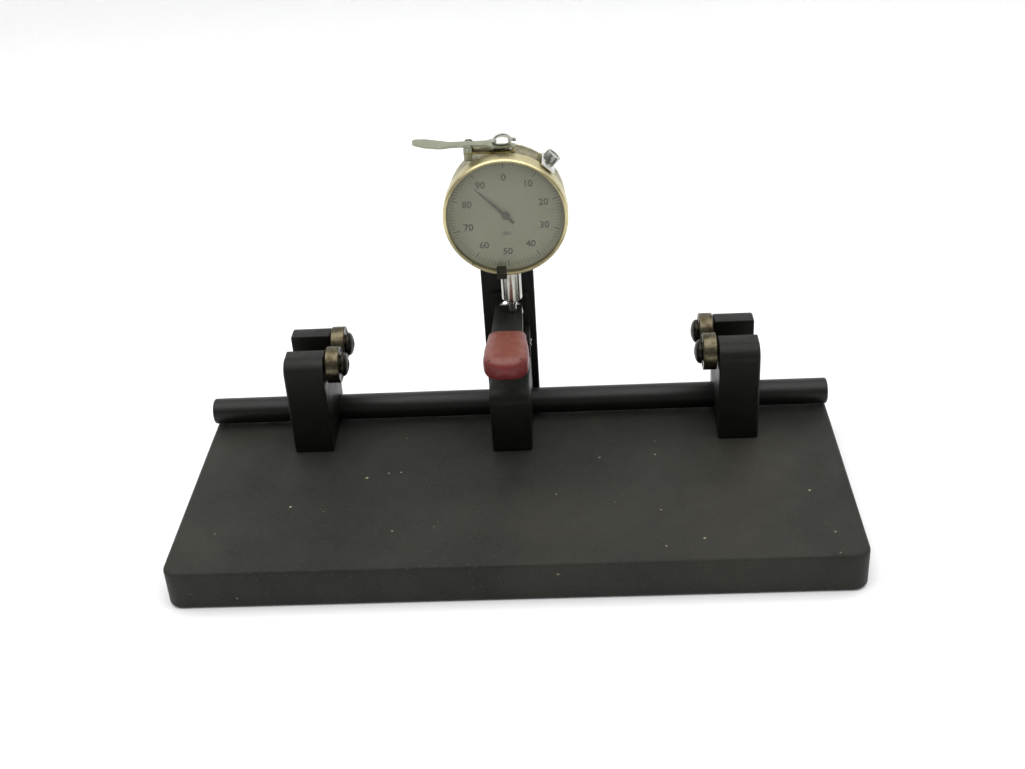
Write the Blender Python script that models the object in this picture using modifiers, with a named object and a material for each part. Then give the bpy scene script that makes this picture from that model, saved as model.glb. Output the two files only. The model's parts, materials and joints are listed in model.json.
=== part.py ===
"""Bench straightener for arrow shafts, with a dial indicator.

A flat base carries a round rail. Two end blocks slide on the rail, and each holds two ball
bearings whose valley carries the shaft. The centre block holds the post, the press lever and the
dial indicator, whose spindle reads the top of the lever.

Frame: X along the rail, Y from front to back, Z up. The origin is the centre of the base's
underside. Dimensions in this script are millimetres; add_part and the mesh helpers turn them
into metres.
"""

import math

import bmesh
import bpy
from mathutils import Matrix, Vector

MM = 0.001
GAP = 0.3                      # clearance between touching pieces
FINE, COARSE = 40, 16          # steps round a large and a small turned piece

# Base, rail and the line that a shaft lies on
BASE_LENGTH, BASE_DEPTH, BASE_HEIGHT = 304.8, 139.7, 19.05
BASE_CORNER, BASE_EDGE = 7.0, 1.5
RAIL_RADIUS = 6.35
RAIL_Y = 51.5
RAIL_Z = BASE_HEIGHT + 1.0 + RAIL_RADIUS
RAIL_CLEARANCE = 0.2
SHAFT_Y = RAIL_Y - 9.2

# Blocks
BLOCK_WIDTH = 19.05
BLOCK_BOTTOM = BASE_HEIGHT + GAP
BLOCK_BACK = RAIL_Y + 11.1
BLOCK_CORNER = 7.3
END_BLOCK_FRONT, END_BLOCK_TOP = SHAFT_Y - 20.3, 68.4
END_BLOCK_X = {"left": -98.4, "right": 106.1}
NOTCH_WIDTH, NOTCH_DEPTH = 13.8, 13.5
CENTRE_X = -1.8
CENTRE_BLOCK_FRONT, CENTRE_BLOCK_TOP = 17.2, 52.0
BLOCK_SCREW_Y = {"front": 24.0, "back": 37.5}
BLOCK_SCREW_SEAT = 6.5

# Ball bearings that carry the shaft
ROLLER_Z, ROLLER_SPREAD = 61.9, 9.9
ROLLER_RADIUS, ROLLER_WIDTH = 17.46 / 2, 6.35
ROLLER_STAND_OFF, INNER_RING_PROUD = 0.8, 0.4
ROLLER_SCREW_RADIUS, ROLLER_SCREW_HEAD, ROLLER_SCREW_RISE = 2.38, 5.7, 3.2
BALL_COUNT, BALL_RADIUS, BALL_CIRCLE = 7, 1.3, 5.95
ROLLER_STEPS = 32

# Post, lever and bracket
POST_WIDTH, POST_THICKNESS, POST_TOP = 25.4, 6.35, 147.0
POST_FRONT = BLOCK_BACK + GAP
POST_BACK = POST_FRONT + POST_THICKNESS
POST_SCREW_Z = {"lower": 37.5, "upper": 46.5}
LEVER_X = -1.1
PIVOT_Y, PIVOT_Z, PIVOT_EYE = 54.6, 58.0, 4.6
LEVER_TOP, LEVER_THICKNESS = 81.3, 6.35
LEVER_WIDTH, LEVER_NECK, LEVER_TAPER_START = 14.4, 12.6, 24.0
LEVER_BACK, LEVER_LEG = 50.8, 3.2
GRIP_FRONT, GRIP_BACK = -7.0, 22.0
GRIP_BOTTOM, GRIP_TOP = 70.6, 82.9
GRIP_COVER = 4.0               # vinyl in front of the lever's end
PLATE_TOP, PLATE_THICKNESS = 82.0, 2.8
PLATE_SCREW_Z = 72.8
EAR_INSIDE, EAR_OUTSIDE = 6.6, 9.0

# Dial indicator
DIAL_X, DIAL_Z = 1.2, 135.5
BEZEL_FRONT, BEZEL_BACK = 27.8, 36.5
BEZEL_RADIUS, CASE_RADIUS, CASE_WALL = 28.0, 27.0, 2.2
CASE_FRONT, CASE_BACK = 33.3, 48.0
WINDOW_RADIUS, LIP_RADIUS, LIP_DEPTH = 26.3, 27.0, 1.0
STEM_RADIUS, STEM_BOTTOM = 9.525 / 2, 88.7
SPINDLE_RADIUS = 2.38
SPINDLE_TOP = 166.8
GEAR_FRONT, GEAR_BACK = 37.9, 39.3
FULCRUM_X, FULCRUM_Z = -14.0, 165.3
CLAMP_ANGLE, CLAMP_SCREW_Y = math.radians(43), 41.8
LUG_Y, LUG_BOLT_RADIUS = 56.4, 2.2
DIAL_SCREW_Z = 142.0

# Colour, roughness and metallic value of each finish
FINISHES = {
    "matte_black": ((0.018, 0.018, 0.019), 0.55, 0.0),
    "satin_black": ((0.012, 0.012, 0.013), 0.30, 0.0),
    "black_oxide": ((0.020, 0.019, 0.018), 0.42, 0.6),
    "steel": ((0.62, 0.61, 0.58), 0.28, 1.0),
    "bright_steel": ((0.80, 0.79, 0.76), 0.14, 1.0),
    "brass": ((0.66, 0.54, 0.28), 0.30, 1.0),
    "red_vinyl": ((0.42, 0.020, 0.022), 0.38, 0.0),
    "dial_grey": ((0.26, 0.25, 0.21), 0.60, 0.0),
    "pointer_black": ((0.02, 0.02, 0.02), 0.45, 0.0),
    "clear": ((0.90, 0.90, 0.86), 0.08, 0.0),
}

# Turns that point a piece's own Z axis along a world axis
UP = (0, 0, 0)
DOWN = (math.pi, 0, 0)
RIGHT = (0, math.pi / 2, 0)
LEFT = (0, -math.pi / 2, 0)
FORWARD = (math.pi / 2, 0, 0)
BACKWARD = (-math.pi / 2, 0, 0)
SIDE_VIEW = (math.pi / 2, 0, math.pi / 2)    # own X, Y, Z to world Y, Z, X
FULL_TURN = 2 * math.pi


def clear_scene():
    for item in list(bpy.data.objects):
        bpy.data.objects.remove(item, do_unlink=True)


def add_collection(name):
    collection = bpy.data.collections.new(name)
    bpy.context.scene.collection.children.link(collection)
    return collection


clear_scene()
PARTS = add_collection("arrow_shaft_straightener")
CUTTERS = add_collection("cutters")


# Outlines: lists of (x, y) points in millimetres

def circle(x, y, radius, steps=COARSE):
    angles = [FULL_TURN * step / steps for step in range(steps)]
    return [(x + radius * math.cos(a), y + radius * math.sin(a)) for a in angles]


def rounded(corners, steps=4):
    """Closed outline through corners (x, y, radius), each corner an arc of its radius."""
    points = []
    for index, (x, y, radius) in enumerate(corners):
        if radius == 0:
            points.append((x, y))
            continue
        corner = Vector((x, y))
        before = (Vector(corners[index - 1][:2]) - corner).normalized()
        after = (Vector(corners[(index + 1) % len(corners)][:2]) - corner).normalized()
        half = before.angle(after) / 2
        centre = corner + (before + after).normalized() * radius / math.sin(half)
        start = corner + before * radius / math.tan(half) - centre
        end = corner + after * radius / math.tan(half) - centre
        sweep = start.angle(end)
        for step in range(steps + 1):
            share = step / steps
            arm = start * math.sin((1 - share) * sweep) + end * math.sin(share * sweep)
            points.append(tuple(centre + arm / math.sin(sweep)))
    return points


def rectangle(x0, y0, x1, y1, radius=0.0, steps=4):
    corners = ((x0, y0, radius), (x1, y0, radius), (x1, y1, radius), (x0, y1, radius))
    return rounded(corners, steps)


def gear_outline(teeth, root, tip):
    """Simple wedge teeth between a root circle and a tip circle."""
    points = []
    for index in range(4 * teeth):
        radius = tip if index % 4 in (1, 2) else root
        angle = FULL_TURN * index / (4 * teeth)
        points.append((radius * math.cos(angle), radius * math.sin(angle)))
    return points


# Meshes, in metres

def prism_mesh(outline, low, high, holes=()):
    """Flat outline in the own XY plane, solid from own Z low to high, with holes through it."""
    curve = bpy.data.curves.new("outline", "CURVE")
    curve.dimensions = "2D"
    curve.fill_mode = "BOTH"
    curve.extrude = (high - low) / 2 * MM
    for loop in (outline, *holes):
        spline = curve.splines.new("POLY")
        spline.points.add(len(loop) - 1)
        spline.use_cyclic_u = True
        for point, (x, y) in zip(spline.points, loop):
            point.co = (x * MM, y * MM, 0, 1)
    holder = bpy.data.objects.new("outline", curve)
    PARTS.objects.link(holder)
    depsgraph = bpy.context.evaluated_depsgraph_get()
    mesh = bpy.data.meshes.new_from_object(holder.evaluated_get(depsgraph))
    bpy.data.objects.remove(holder, do_unlink=True)
    weld(mesh)
    mesh.transform(Matrix.Translation((0, 0, (low + high) / 2 * MM)))
    return mesh


def weld(mesh):
    bm = bmesh.new()
    bm.from_mesh(mesh)
    bmesh.ops.remove_doubles(bm, verts=bm.verts, dist=0.001 * MM)
    bmesh.ops.recalc_face_normals(bm, faces=bm.faces)
    bm.to_mesh(mesh)
    bm.free()


def bend_up(mesh, start, slope, facet=2.0):
    """Bend a flat sheet up on the left of own X start: two short facets, then the full slope."""
    bm = bmesh.new()
    bm.from_mesh(mesh)
    for line in (start, start - facet, start - 2 * facet):
        everything = bm.verts[:] + bm.edges[:] + bm.faces[:]
        bmesh.ops.bisect_plane(bm, geom=everything, plane_co=(line * MM, 0, 0), plane_no=(1, 0, 0))
    for vertex in bm.verts:
        run = max(0, start - vertex.co.x / MM)
        first, second = min(run, facet), min(max(run - facet, 0), facet)
        vertex.co.z += slope * (first / 3 + second * 2 / 3 + max(run - 2 * facet, 0)) * MM
    bm.to_mesh(mesh)
    bm.free()
    weld(mesh)


def box_mesh(low, high):
    """Box between two opposite corners."""
    size = [(b - a) * MM for a, b in zip(low, high)]
    middle = [(a + b) / 2 * MM for a, b in zip(low, high)]
    bm = bmesh.new()
    bmesh.ops.create_cube(bm, size=1)
    bmesh.ops.scale(bm, vec=size, verts=bm.verts)
    bmesh.ops.translate(bm, vec=middle, verts=bm.verts)
    mesh = bpy.data.meshes.new("box")
    bm.to_mesh(mesh)
    bm.free()
    return mesh


def rod_mesh(radius, low, high, steps=COARSE):
    """Cylinder round the own Z axis."""
    bm = bmesh.new()
    place = Matrix.Translation((0, 0, (low + high) / 2 * MM))
    bmesh.ops.create_cone(bm, cap_ends=True, segments=steps, radius1=radius * MM,
                          radius2=radius * MM, depth=(high - low) * MM, matrix=place)
    mesh = bpy.data.meshes.new("rod")
    bm.to_mesh(mesh)
    bm.free()
    return mesh


def profile_mesh(points, closed):
    """Profile of (radius, height) points in the own XZ plane, ready for a Screw modifier."""
    bm = bmesh.new()
    verts = [bm.verts.new((radius * MM, 0, height * MM)) for radius, height in points]
    for first, second in zip(verts, verts[1:]):
        bm.edges.new((first, second))
    if closed:
        bm.edges.new((verts[-1], verts[0]))
    mesh = bpy.data.meshes.new("profile")
    bm.to_mesh(mesh)
    bm.free()
    return mesh


# Objects

def add_material(name, finish):
    colour, roughness, metallic = FINISHES[finish]
    material = bpy.data.materials.new(name)
    material.use_nodes = True
    shader = material.node_tree.nodes["Principled BSDF"]
    shader.inputs["Base Color"].default_value = (*colour, 1)
    shader.inputs["Roughness"].default_value = roughness
    shader.inputs["Metallic"].default_value = metallic
    if finish == "clear":
        shader.inputs["Transmission Weight"].default_value = 1.0
    return material


def add_part(name, mesh, finish, place=(0, 0, 0), turn=UP):
    piece = bpy.data.objects.new(name, mesh)
    piece.location = Vector(place) * MM
    piece.rotation_euler = turn
    piece.data.materials.append(add_material(name, finish))
    PARTS.objects.link(piece)
    return piece


def turn_profile(piece, steps):
    screw = piece.modifiers.new("Turned", "SCREW")
    screw.axis = "Z"
    screw.steps = steps
    screw.render_steps = steps
    screw.use_merge_vertices = True
    screw.merge_threshold = 0.001 * MM
    screw.use_smooth_shade = True


def add_turned(name, points, finish, place, turn, steps=COARSE, closed=False):
    """Turned piece. Its profile runs down the outer side, from top to bottom."""
    piece = add_part(name, profile_mesh(points, closed), finish, place, turn)
    turn_profile(piece, steps)
    return piece


def boolean(piece, mesh, operation="DIFFERENCE", place=(0, 0, 0), turn=UP):
    """Cut, join or intersect a piece with a tool mesh placed in world millimetres."""
    tool = bpy.data.objects.new(f"{piece.name}_{operation.lower()}", mesh)
    tool.location = Vector(place) * MM
    tool.rotation_euler = turn
    tool.hide_render = True
    tool.display_type = "WIRE"
    CUTTERS.objects.link(tool)
    modifier = piece.modifiers.new(operation.title(), "BOOLEAN")
    modifier.operation = operation
    modifier.solver = "EXACT"
    modifier.object = tool


def drill(piece, radius, start, end, turn=UP, place=(0, 0, 0)):
    boolean(piece, rod_mesh(radius, start, end), "DIFFERENCE", place, turn)


def round_edges(piece, width, segments=2, angle=50):
    """Round every edge sharper than the angle."""
    bevel = piece.modifiers.new("Rounded edges", "BEVEL")
    bevel.width = width * MM
    bevel.segments = segments
    bevel.limit_method = "ANGLE"
    bevel.angle_limit = math.radians(angle)


def shade(piece, angle=35):
    if len(piece.data.polygons):
        piece.data.shade_smooth()
        piece.data.set_sharp_from_angle(angle=math.radians(angle))


# Fasteners

def button_screw(name, head, length, finish, place, turn, shank=ROLLER_SCREW_RADIUS,
                 rise=3.4, socket=2.0):
    """Button-head screw: head on the own +Z side of the seat, shank below it, hex socket."""
    points = [(0, rise)]
    for step in range(1, 5):
        angle = step / 5 * math.pi / 2
        points.append((head * (0.42 + 0.58 * math.sin(angle)), rise * (0.12 + 0.88 * math.cos(angle))))
    points += [(head, 0.12 * rise), (head, 0), (shank, 0), (shank, 0.4 - length)]
    points += [(shank - 0.4, -length), (0, -length)]
    screw = add_turned(name, points, finish, place, turn)
    boolean(screw, rod_mesh(socket, rise * 0.35, rise + 1, 6), "DIFFERENCE", place, turn)
    return screw


def cap_screw(name, length, finish, place, turn, head=4.3, shank=2.4, rise=4.5):
    """Socket-head screw whose head sits on the own +Z side of its seat."""
    points = [(0, rise), (head - 0.4, rise), (head, rise - 0.4), (head, 0), (shank, 0)]
    points += [(shank, 0.4 - length), (shank - 0.4, -length), (0, -length)]
    screw = add_turned(name, points, finish, place, turn)
    boolean(screw, rod_mesh(head * 0.5, rise * 0.4, rise + 1, 6), "DIFFERENCE", place, turn)
    return screw


def set_screw(name, radius, length, finish, place, turn):
    """Headless screw with its socket at own Z 0, running down from there."""
    points = [(0, 0), (radius - 0.4, 0), (radius, -0.4), (radius, 0.5 - length)]
    points += [(radius - 0.5, -length), (0, -length)]
    screw = add_turned(name, points, finish, place, turn)
    boolean(screw, rod_mesh(radius * 0.5, -length * 0.5, 1, 6), "DIFFERENCE", place, turn)
    return screw


# Base, rail and blocks

def build_base():
    half_length, half_depth = BASE_LENGTH / 2, BASE_DEPTH / 2
    outline = rectangle(-half_length, -half_depth, half_length, half_depth, BASE_CORNER)
    base = add_part("base_plate", prism_mesh(outline, 0, BASE_HEIGHT), "matte_black")
    round_edges(base, BASE_EDGE, 3)
    shade(base)
    for y in BLOCK_SCREW_Y.values():
        place = (CENTRE_X, y, 0)
        drill(base, 2.7, -1, BASE_HEIGHT + 1, UP, place)
        drill(base, 4.7, -1, BLOCK_SCREW_SEAT, UP, place)


def build_rail():
    half = BASE_LENGTH / 2
    points = [(0, half), (RAIL_RADIUS - 1, half), (RAIL_RADIUS, half - 1)]
    points += [(RAIL_RADIUS, 1 - half), (RAIL_RADIUS - 1, -half), (0, -half)]
    add_turned("rail_rod", points, "satin_black", (0, RAIL_Y, RAIL_Z), RIGHT, FINE)


def drill_rail_hole(block, x):
    half = BLOCK_WIDTH / 2 + 1
    hole = rod_mesh(RAIL_RADIUS + RAIL_CLEARANCE, -half, half, FINE)
    boolean(block, hole, "DIFFERENCE", (x, RAIL_Y, RAIL_Z), RIGHT)


def build_centre_block():
    corners = [(CENTRE_BLOCK_FRONT, BLOCK_BOTTOM, 0), (BLOCK_BACK, BLOCK_BOTTOM, 0)]
    corners += [(BLOCK_BACK, CENTRE_BLOCK_TOP, 0), (CENTRE_BLOCK_FRONT, CENTRE_BLOCK_TOP, BLOCK_CORNER)]
    half = BLOCK_WIDTH / 2
    mesh = prism_mesh(rounded(corners), -half, half)
    block = add_part("centre_block", mesh, "satin_black", (CENTRE_X, 0, 0), SIDE_VIEW)
    round_edges(block, 0.8, 2, 80)
    shade(block)
    drill_rail_hole(block, CENTRE_X)
    for y in BLOCK_SCREW_Y.values():
        drill(block, 2.7, 10, 34, UP, (CENTRE_X, y, 0))
    drill(block, 3.2, RAIL_Z, CENTRE_BLOCK_TOP + 1, UP, (CENTRE_X, RAIL_Y, 0))
    for z in POST_SCREW_Z.values():
        drill(block, 2.3, -7, 1, BACKWARD, (CENTRE_X, BLOCK_BACK, z))


def build_block_screws():
    length = 25.5
    for side, y in BLOCK_SCREW_Y.items():
        place = (CENTRE_X, y, BLOCK_SCREW_SEAT - GAP)
        cap_screw(f"block_screw_{side}", length, "black_oxide", place, DOWN)
    depth = CENTRE_BLOCK_TOP - RAIL_Z - RAIL_RADIUS - 1.5
    place = (CENTRE_X, RAIL_Y, CENTRE_BLOCK_TOP - 1)
    set_screw("rail_set_screw", 2.9, depth, "black_oxide", place, UP)


def build_end_block(side):
    """Block with a notch over the shaft line and a hole that slides on the rail."""
    notch_front, notch_back = SHAFT_Y - NOTCH_WIDTH / 2, SHAFT_Y + NOTCH_WIDTH / 2
    notch_floor = END_BLOCK_TOP - NOTCH_DEPTH
    corners = [(END_BLOCK_FRONT, BLOCK_BOTTOM, 0), (BLOCK_BACK, BLOCK_BOTTOM, 0)]
    corners += [(BLOCK_BACK, END_BLOCK_TOP, BLOCK_CORNER), (notch_back, END_BLOCK_TOP, 0)]
    corners += [(notch_back, notch_floor, 0), (notch_front, notch_floor, 0)]
    corners += [(notch_front, END_BLOCK_TOP, 0), (END_BLOCK_FRONT, END_BLOCK_TOP, BLOCK_CORNER)]
    half = BLOCK_WIDTH / 2
    mesh = prism_mesh(rounded(corners), -half, half)
    block_x = END_BLOCK_X[side]
    block = add_part(f"end_block_{side}", mesh, "satin_black", (block_x, 0, 0), SIDE_VIEW)
    round_edges(block, 0.8, 2, 80)
    shade(block)
    drill_rail_hole(block, block_x)
    turn = RIGHT if side == "left" else LEFT
    reach = half if side == "left" else -half
    for y in roller_places().values():
        drill(block, ROLLER_SCREW_RADIUS + GAP, -13, 1, turn, (block_x + reach, y, ROLLER_Z))
    drill(block, 3.1, -5, 1, BACKWARD, (block_x, BLOCK_BACK, RAIL_Z))
    place = (block_x, BLOCK_BACK - 0.5, RAIL_Z)
    set_screw(f"clamp_screw_{side}", 2.8, 3.6, "black_oxide", place, BACKWARD)


def roller_places():
    return {"front": SHAFT_Y - ROLLER_SPREAD, "back": SHAFT_Y + ROLLER_SPREAD}


# Ball bearings

def outer_ring_points():
    """Ring with a shield on each side that reaches in towards the inner ring."""
    low, high = ROLLER_STAND_OFF, ROLLER_STAND_OFF + ROLLER_WIDTH
    edge, channel, shield, sheet = 0.4, 7.6, 4.75, 0.5
    outside = [(shield, high), (ROLLER_RADIUS - edge, high), (ROLLER_RADIUS, high - edge)]
    outside += [(ROLLER_RADIUS, low + edge), (ROLLER_RADIUS - edge, low), (shield, low)]
    inside = [(shield, low + sheet), (channel, low + sheet)]
    inside += [(channel, high - sheet), (shield, high - sheet)]
    return outside + inside


def inner_ring_points():
    bore, outside = ROLLER_SCREW_RADIUS + GAP, BALL_CIRCLE - BALL_RADIUS - 0.35
    low, high = GAP, ROLLER_STAND_OFF + ROLLER_WIDTH + INNER_RING_PROUD
    return [(bore, high), (outside, high), (outside, low), (bore, low)]


def add_ball_cage(name, place, turn):
    """Flat cage ring with its balls, which turn round the inner ring together."""
    middle = ROLLER_STAND_OFF + ROLLER_WIDTH / 2
    hoop = [(BALL_CIRCLE + 0.7, middle + 0.5), (BALL_CIRCLE + 0.7, middle - 0.5)]
    hoop += [(BALL_CIRCLE - 0.7, middle - 0.5), (BALL_CIRCLE - 0.7, middle + 0.5)]
    cage = add_turned(name, hoop, "bright_steel", place, turn, 14, closed=True)
    bm = bmesh.new()
    for index in range(BALL_COUNT):
        angle = FULL_TURN * (index + 0.5) / BALL_COUNT
        centre = Vector((BALL_CIRCLE * math.cos(angle), BALL_CIRCLE * math.sin(angle), middle))
        bmesh.ops.create_uvsphere(bm, u_segments=6, v_segments=5, radius=BALL_RADIUS * MM,
                                  matrix=Matrix.Translation(centre * MM))
    balls = bpy.data.meshes.new("balls")
    bm.to_mesh(balls)
    bm.free()
    boolean(cage, balls, "UNION", place, turn)


def build_rollers(side):
    inward = 1 if side == "left" else -1
    turn = RIGHT if side == "left" else LEFT
    face_x = END_BLOCK_X[side] + inward * BLOCK_WIDTH / 2
    seat = ROLLER_STAND_OFF + ROLLER_WIDTH + INNER_RING_PROUD + GAP
    for row, y in roller_places().items():
        name = f"{side}_{row}"
        place = (face_x, y, ROLLER_Z)
        add_turned(f"roller_outer_ring_{name}", outer_ring_points(), "bright_steel", place, turn,
                   ROLLER_STEPS, closed=True)
        add_turned(f"roller_inner_ring_{name}", inner_ring_points(), "bright_steel", place, turn,
                   COARSE, closed=True)
        add_ball_cage(f"ball_cage_{name}", place, turn)
        head_seat = (face_x + inward * seat, y, ROLLER_Z)
        button_screw(f"roller_screw_{name}", ROLLER_SCREW_HEAD, 19.5, "black_oxide", head_seat, turn,
                     rise=ROLLER_SCREW_RISE)


# Post and press lever

def build_post():
    half = POST_WIDTH / 2
    outline = rectangle(-half, BLOCK_BOTTOM, half, POST_TOP, 1.5, 3)
    mesh = prism_mesh(outline, -POST_BACK, -POST_FRONT)
    post = add_part("post_bar", mesh, "satin_black", (CENTRE_X, 0, 0), FORWARD)
    round_edges(post, 0.5, 2, 80)
    shade(post)
    for z in POST_SCREW_Z.values():
        drill(post, 2.3, -POST_THICKNESS - 1, 1, BACKWARD, (CENTRE_X, POST_BACK, z))
    drill(post, 2.7, -POST_THICKNESS - 1, 1, BACKWARD, (LEVER_X, POST_BACK, PLATE_SCREW_Z))
    drill(post, 2.3, -POST_THICKNESS - 1, 1, BACKWARD, (DIAL_X, POST_BACK, DIAL_SCREW_Z))
    for name, z in POST_SCREW_Z.items():
        place = (CENTRE_X, POST_BACK + GAP, z)
        button_screw(f"post_screw_{name}", 4.5, 12.5, "black_oxide", place, BACKWARD, 2.0, 2.6, 1.5)


def build_lever_bracket():
    """Back plate on the post with two ears that hold the lever's pivot pin."""
    bottom, front = CENTRE_BLOCK_TOP + GAP, 50.0
    plate_front = BLOCK_BACK - PLATE_THICKNESS
    outline = rectangle(-EAR_OUTSIDE, bottom, EAR_OUTSIDE, PLATE_TOP, 1.5, 3)
    mesh = prism_mesh(outline, -BLOCK_BACK, -plate_front)
    bracket = add_part("lever_bracket", mesh, "satin_black", (LEVER_X, 0, 0), FORWARD)
    corners = [(front, bottom, 0), (plate_front + 0.5, bottom, 0)]
    corners += [(plate_front + 0.5, 65.0, 0), (front, 64.0, 4.0)]
    for sign in (-1, 1):
        low, high = sorted((sign * EAR_INSIDE, sign * EAR_OUTSIDE))
        ear = prism_mesh(rounded(corners), low, high)
        boolean(bracket, ear, "UNION", (LEVER_X, 0, 0), SIDE_VIEW)
    drill(bracket, 2.1, -12, 12, RIGHT, (LEVER_X, PIVOT_Y, PIVOT_Z))
    drill(bracket, 2.7, -1, 5, BACKWARD, (LEVER_X, plate_front, PLATE_SCREW_Z))
    pin_half = EAR_OUTSIDE + 0.8
    points = [(0, pin_half), (1.4, pin_half), (1.8, pin_half - 0.4)]
    points += [(1.8, 0.4 - pin_half), (1.4, -pin_half), (0, -pin_half)]
    place = (LEVER_X, PIVOT_Y, PIVOT_Z)
    add_turned("lever_pivot_pin", points, "steel", place, RIGHT)
    build_bracket_screw(plate_front)


def build_bracket_screw(plate_front):
    """Polished round-head screw through the plate and the post, with a nut behind."""
    head, rise, shank = 6.5, 3.6, 2.4
    length = POST_BACK - plate_front + 5.2
    angles = [step * math.pi / 12 for step in range(6)]
    points = [(head * math.sin(a), rise * math.cos(a)) for a in angles]
    points += [(head, 0), (shank, 0), (shank, 0.4 - length), (shank - 0.4, -length), (0, -length)]
    place = (LEVER_X, plate_front - GAP, PLATE_SCREW_Z)
    screw = add_turned("bracket_screw", points, "bright_steel", place, FORWARD)
    slot = box_mesh((-0.7, -7, rise - 1.2), (0.7, 7, rise + 1))
    boolean(screw, slot, "DIFFERENCE", place, FORWARD)
    nut_seat = (LEVER_X, POST_BACK + GAP, PLATE_SCREW_Z)
    mesh = prism_mesh(circle(0, 0, 5.0, 6), 0, 3.8, [circle(0, 0, shank + GAP)])
    nut = add_part("bracket_nut", mesh, "steel", nut_seat, BACKWARD)
    round_edges(nut, 0.3, 1, 80)


def build_lever():
    """Flat bar over the shaft line, turned down behind it to an eye on the pivot pin."""
    eye, bar_front = PIVOT_EYE, GRIP_FRONT + GRIP_COVER
    under = LEVER_TOP - LEVER_THICKNESS
    leg_front = LEVER_BACK - LEVER_LEG
    side = [(bar_front, LEVER_TOP, 1.0), (bar_front, under, 1.0), (leg_front, under, 0.8)]
    side += [(leg_front, PIVOT_Z - eye, eye - 0.1), (PIVOT_Y + eye, PIVOT_Z - eye, eye - 0.1)]
    side += [(PIVOT_Y + eye, PIVOT_Z + eye, eye - 0.1), (LEVER_BACK, PIVOT_Z + eye, 0.8)]
    side += [(LEVER_BACK, LEVER_TOP, 1.5)]
    hole = circle(PIVOT_Y, PIVOT_Z, 2.1)
    lift = [(y - PIVOT_Y, z - PIVOT_Z) for y, z in rounded(side)]
    pin_hole = [(y - PIVOT_Y, z - PIVOT_Z) for y, z in hole]
    place = (LEVER_X, PIVOT_Y, PIVOT_Z)
    mesh = prism_mesh(lift, -LEVER_WIDTH / 2, LEVER_WIDTH / 2, [pin_hole])
    lever = add_part("press_lever", mesh, "satin_black", place, SIDE_VIEW)
    wide, neck = LEVER_WIDTH / 2, LEVER_NECK / 2
    taper = LEVER_TAPER_START - PIVOT_Y
    plan = [(-wide, -80), (wide, -80), (wide, taper), (neck, LEVER_BACK - PIVOT_Y)]
    plan += [(neck, 20), (-neck, 20), (-neck, LEVER_BACK - PIVOT_Y), (-wide, taper)]
    boolean(lever, prism_mesh(plan, -20, 40), "INTERSECT", place, UP)
    round_edges(lever, 0.35, 2, 80)
    shade(lever)


def build_grip():
    """Dipped sleeve that closes over the front end of the lever."""
    wide, narrow, widest_y = 10.5, 8.8, 9.0
    corners = [(-narrow, GRIP_BACK, 1.5), (-wide, widest_y, 12), (-wide, GRIP_FRONT, 7.5)]
    corners += [(wide, GRIP_FRONT, 7.5), (wide, widest_y, 12), (narrow, GRIP_BACK, 1.5)]
    plan = [(x, y - PIVOT_Y) for x, y in rounded(corners)]
    place = (LEVER_X, PIVOT_Y, PIVOT_Z)
    sleeve = prism_mesh(plan, GRIP_BOTTOM - PIVOT_Z, GRIP_TOP - PIVOT_Z)
    grip = add_part("lever_grip", sleeve, "red_vinyl", place)
    round_edges(grip, 3.6, 4, 60)
    shade(grip)
    side = LEVER_WIDTH / 2 + GAP
    bar_front = GRIP_FRONT + GRIP_COVER
    low = (-side, bar_front - GAP - PIVOT_Y, LEVER_TOP - LEVER_THICKNESS - GAP - PIVOT_Z)
    high = (side, GRIP_BACK + 5 - PIVOT_Y, LEVER_TOP + GAP - PIVOT_Z)
    boolean(grip, box_mesh(low, high), "DIFFERENCE", place)


# Dial indicator

def dial_place(y):
    return (DIAL_X, y, DIAL_Z)


def build_bezel():
    """Knurled ring that holds the crystal and the dial face and turns on the case."""
    depth = BEZEL_BACK - BEZEL_FRONT
    room = CASE_RADIUS + GAP
    outside = [(WINDOW_RADIUS, 0), (LIP_RADIUS, 0), (BEZEL_RADIUS, -1.4), (BEZEL_RADIUS, -depth)]
    inside = [(room, -depth), (room, -LIP_DEPTH), (WINDOW_RADIUS, -LIP_DEPTH)]
    add_turned("bezel", outside + inside, "brass", dial_place(BEZEL_FRONT), FORWARD, FINE, closed=True)
    front = dial_place(BEZEL_FRONT + LIP_DEPTH + GAP)
    add_part("crystal", rod_mesh(room - GAP, -1.2, 0, FINE), "clear", front, FORWARD)
    face = prism_mesh(circle(0, 0, room - GAP, FINE), -0.6, 0, [circle(0, 0, 1.3, 16)])
    add_part("dial_face", face, "dial_grey", dial_place(CASE_FRONT - 0.6 - GAP), FORWARD)
    build_limit_clip()


def build_limit_clip():
    """Small sheet clip hooked over the bezel's rim beside the stem."""
    sheet, top = 0.8, -22.8
    front, low = BEZEL_FRONT - GAP - sheet, -BEZEL_RADIUS - GAP - sheet
    corners = [(front, low, 0.5), (BEZEL_BACK, low, 0), (BEZEL_BACK, low + sheet, 0)]
    corners += [(front + sheet, low + sheet, 0), (front + sheet, top, 0), (front, top, 0)]
    mesh = prism_mesh(rounded(corners, 3), -5.3, -0.9)
    add_part("limit_clip", mesh, "black_oxide", (DIAL_X, 0, DIAL_Z), SIDE_VIEW)


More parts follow.
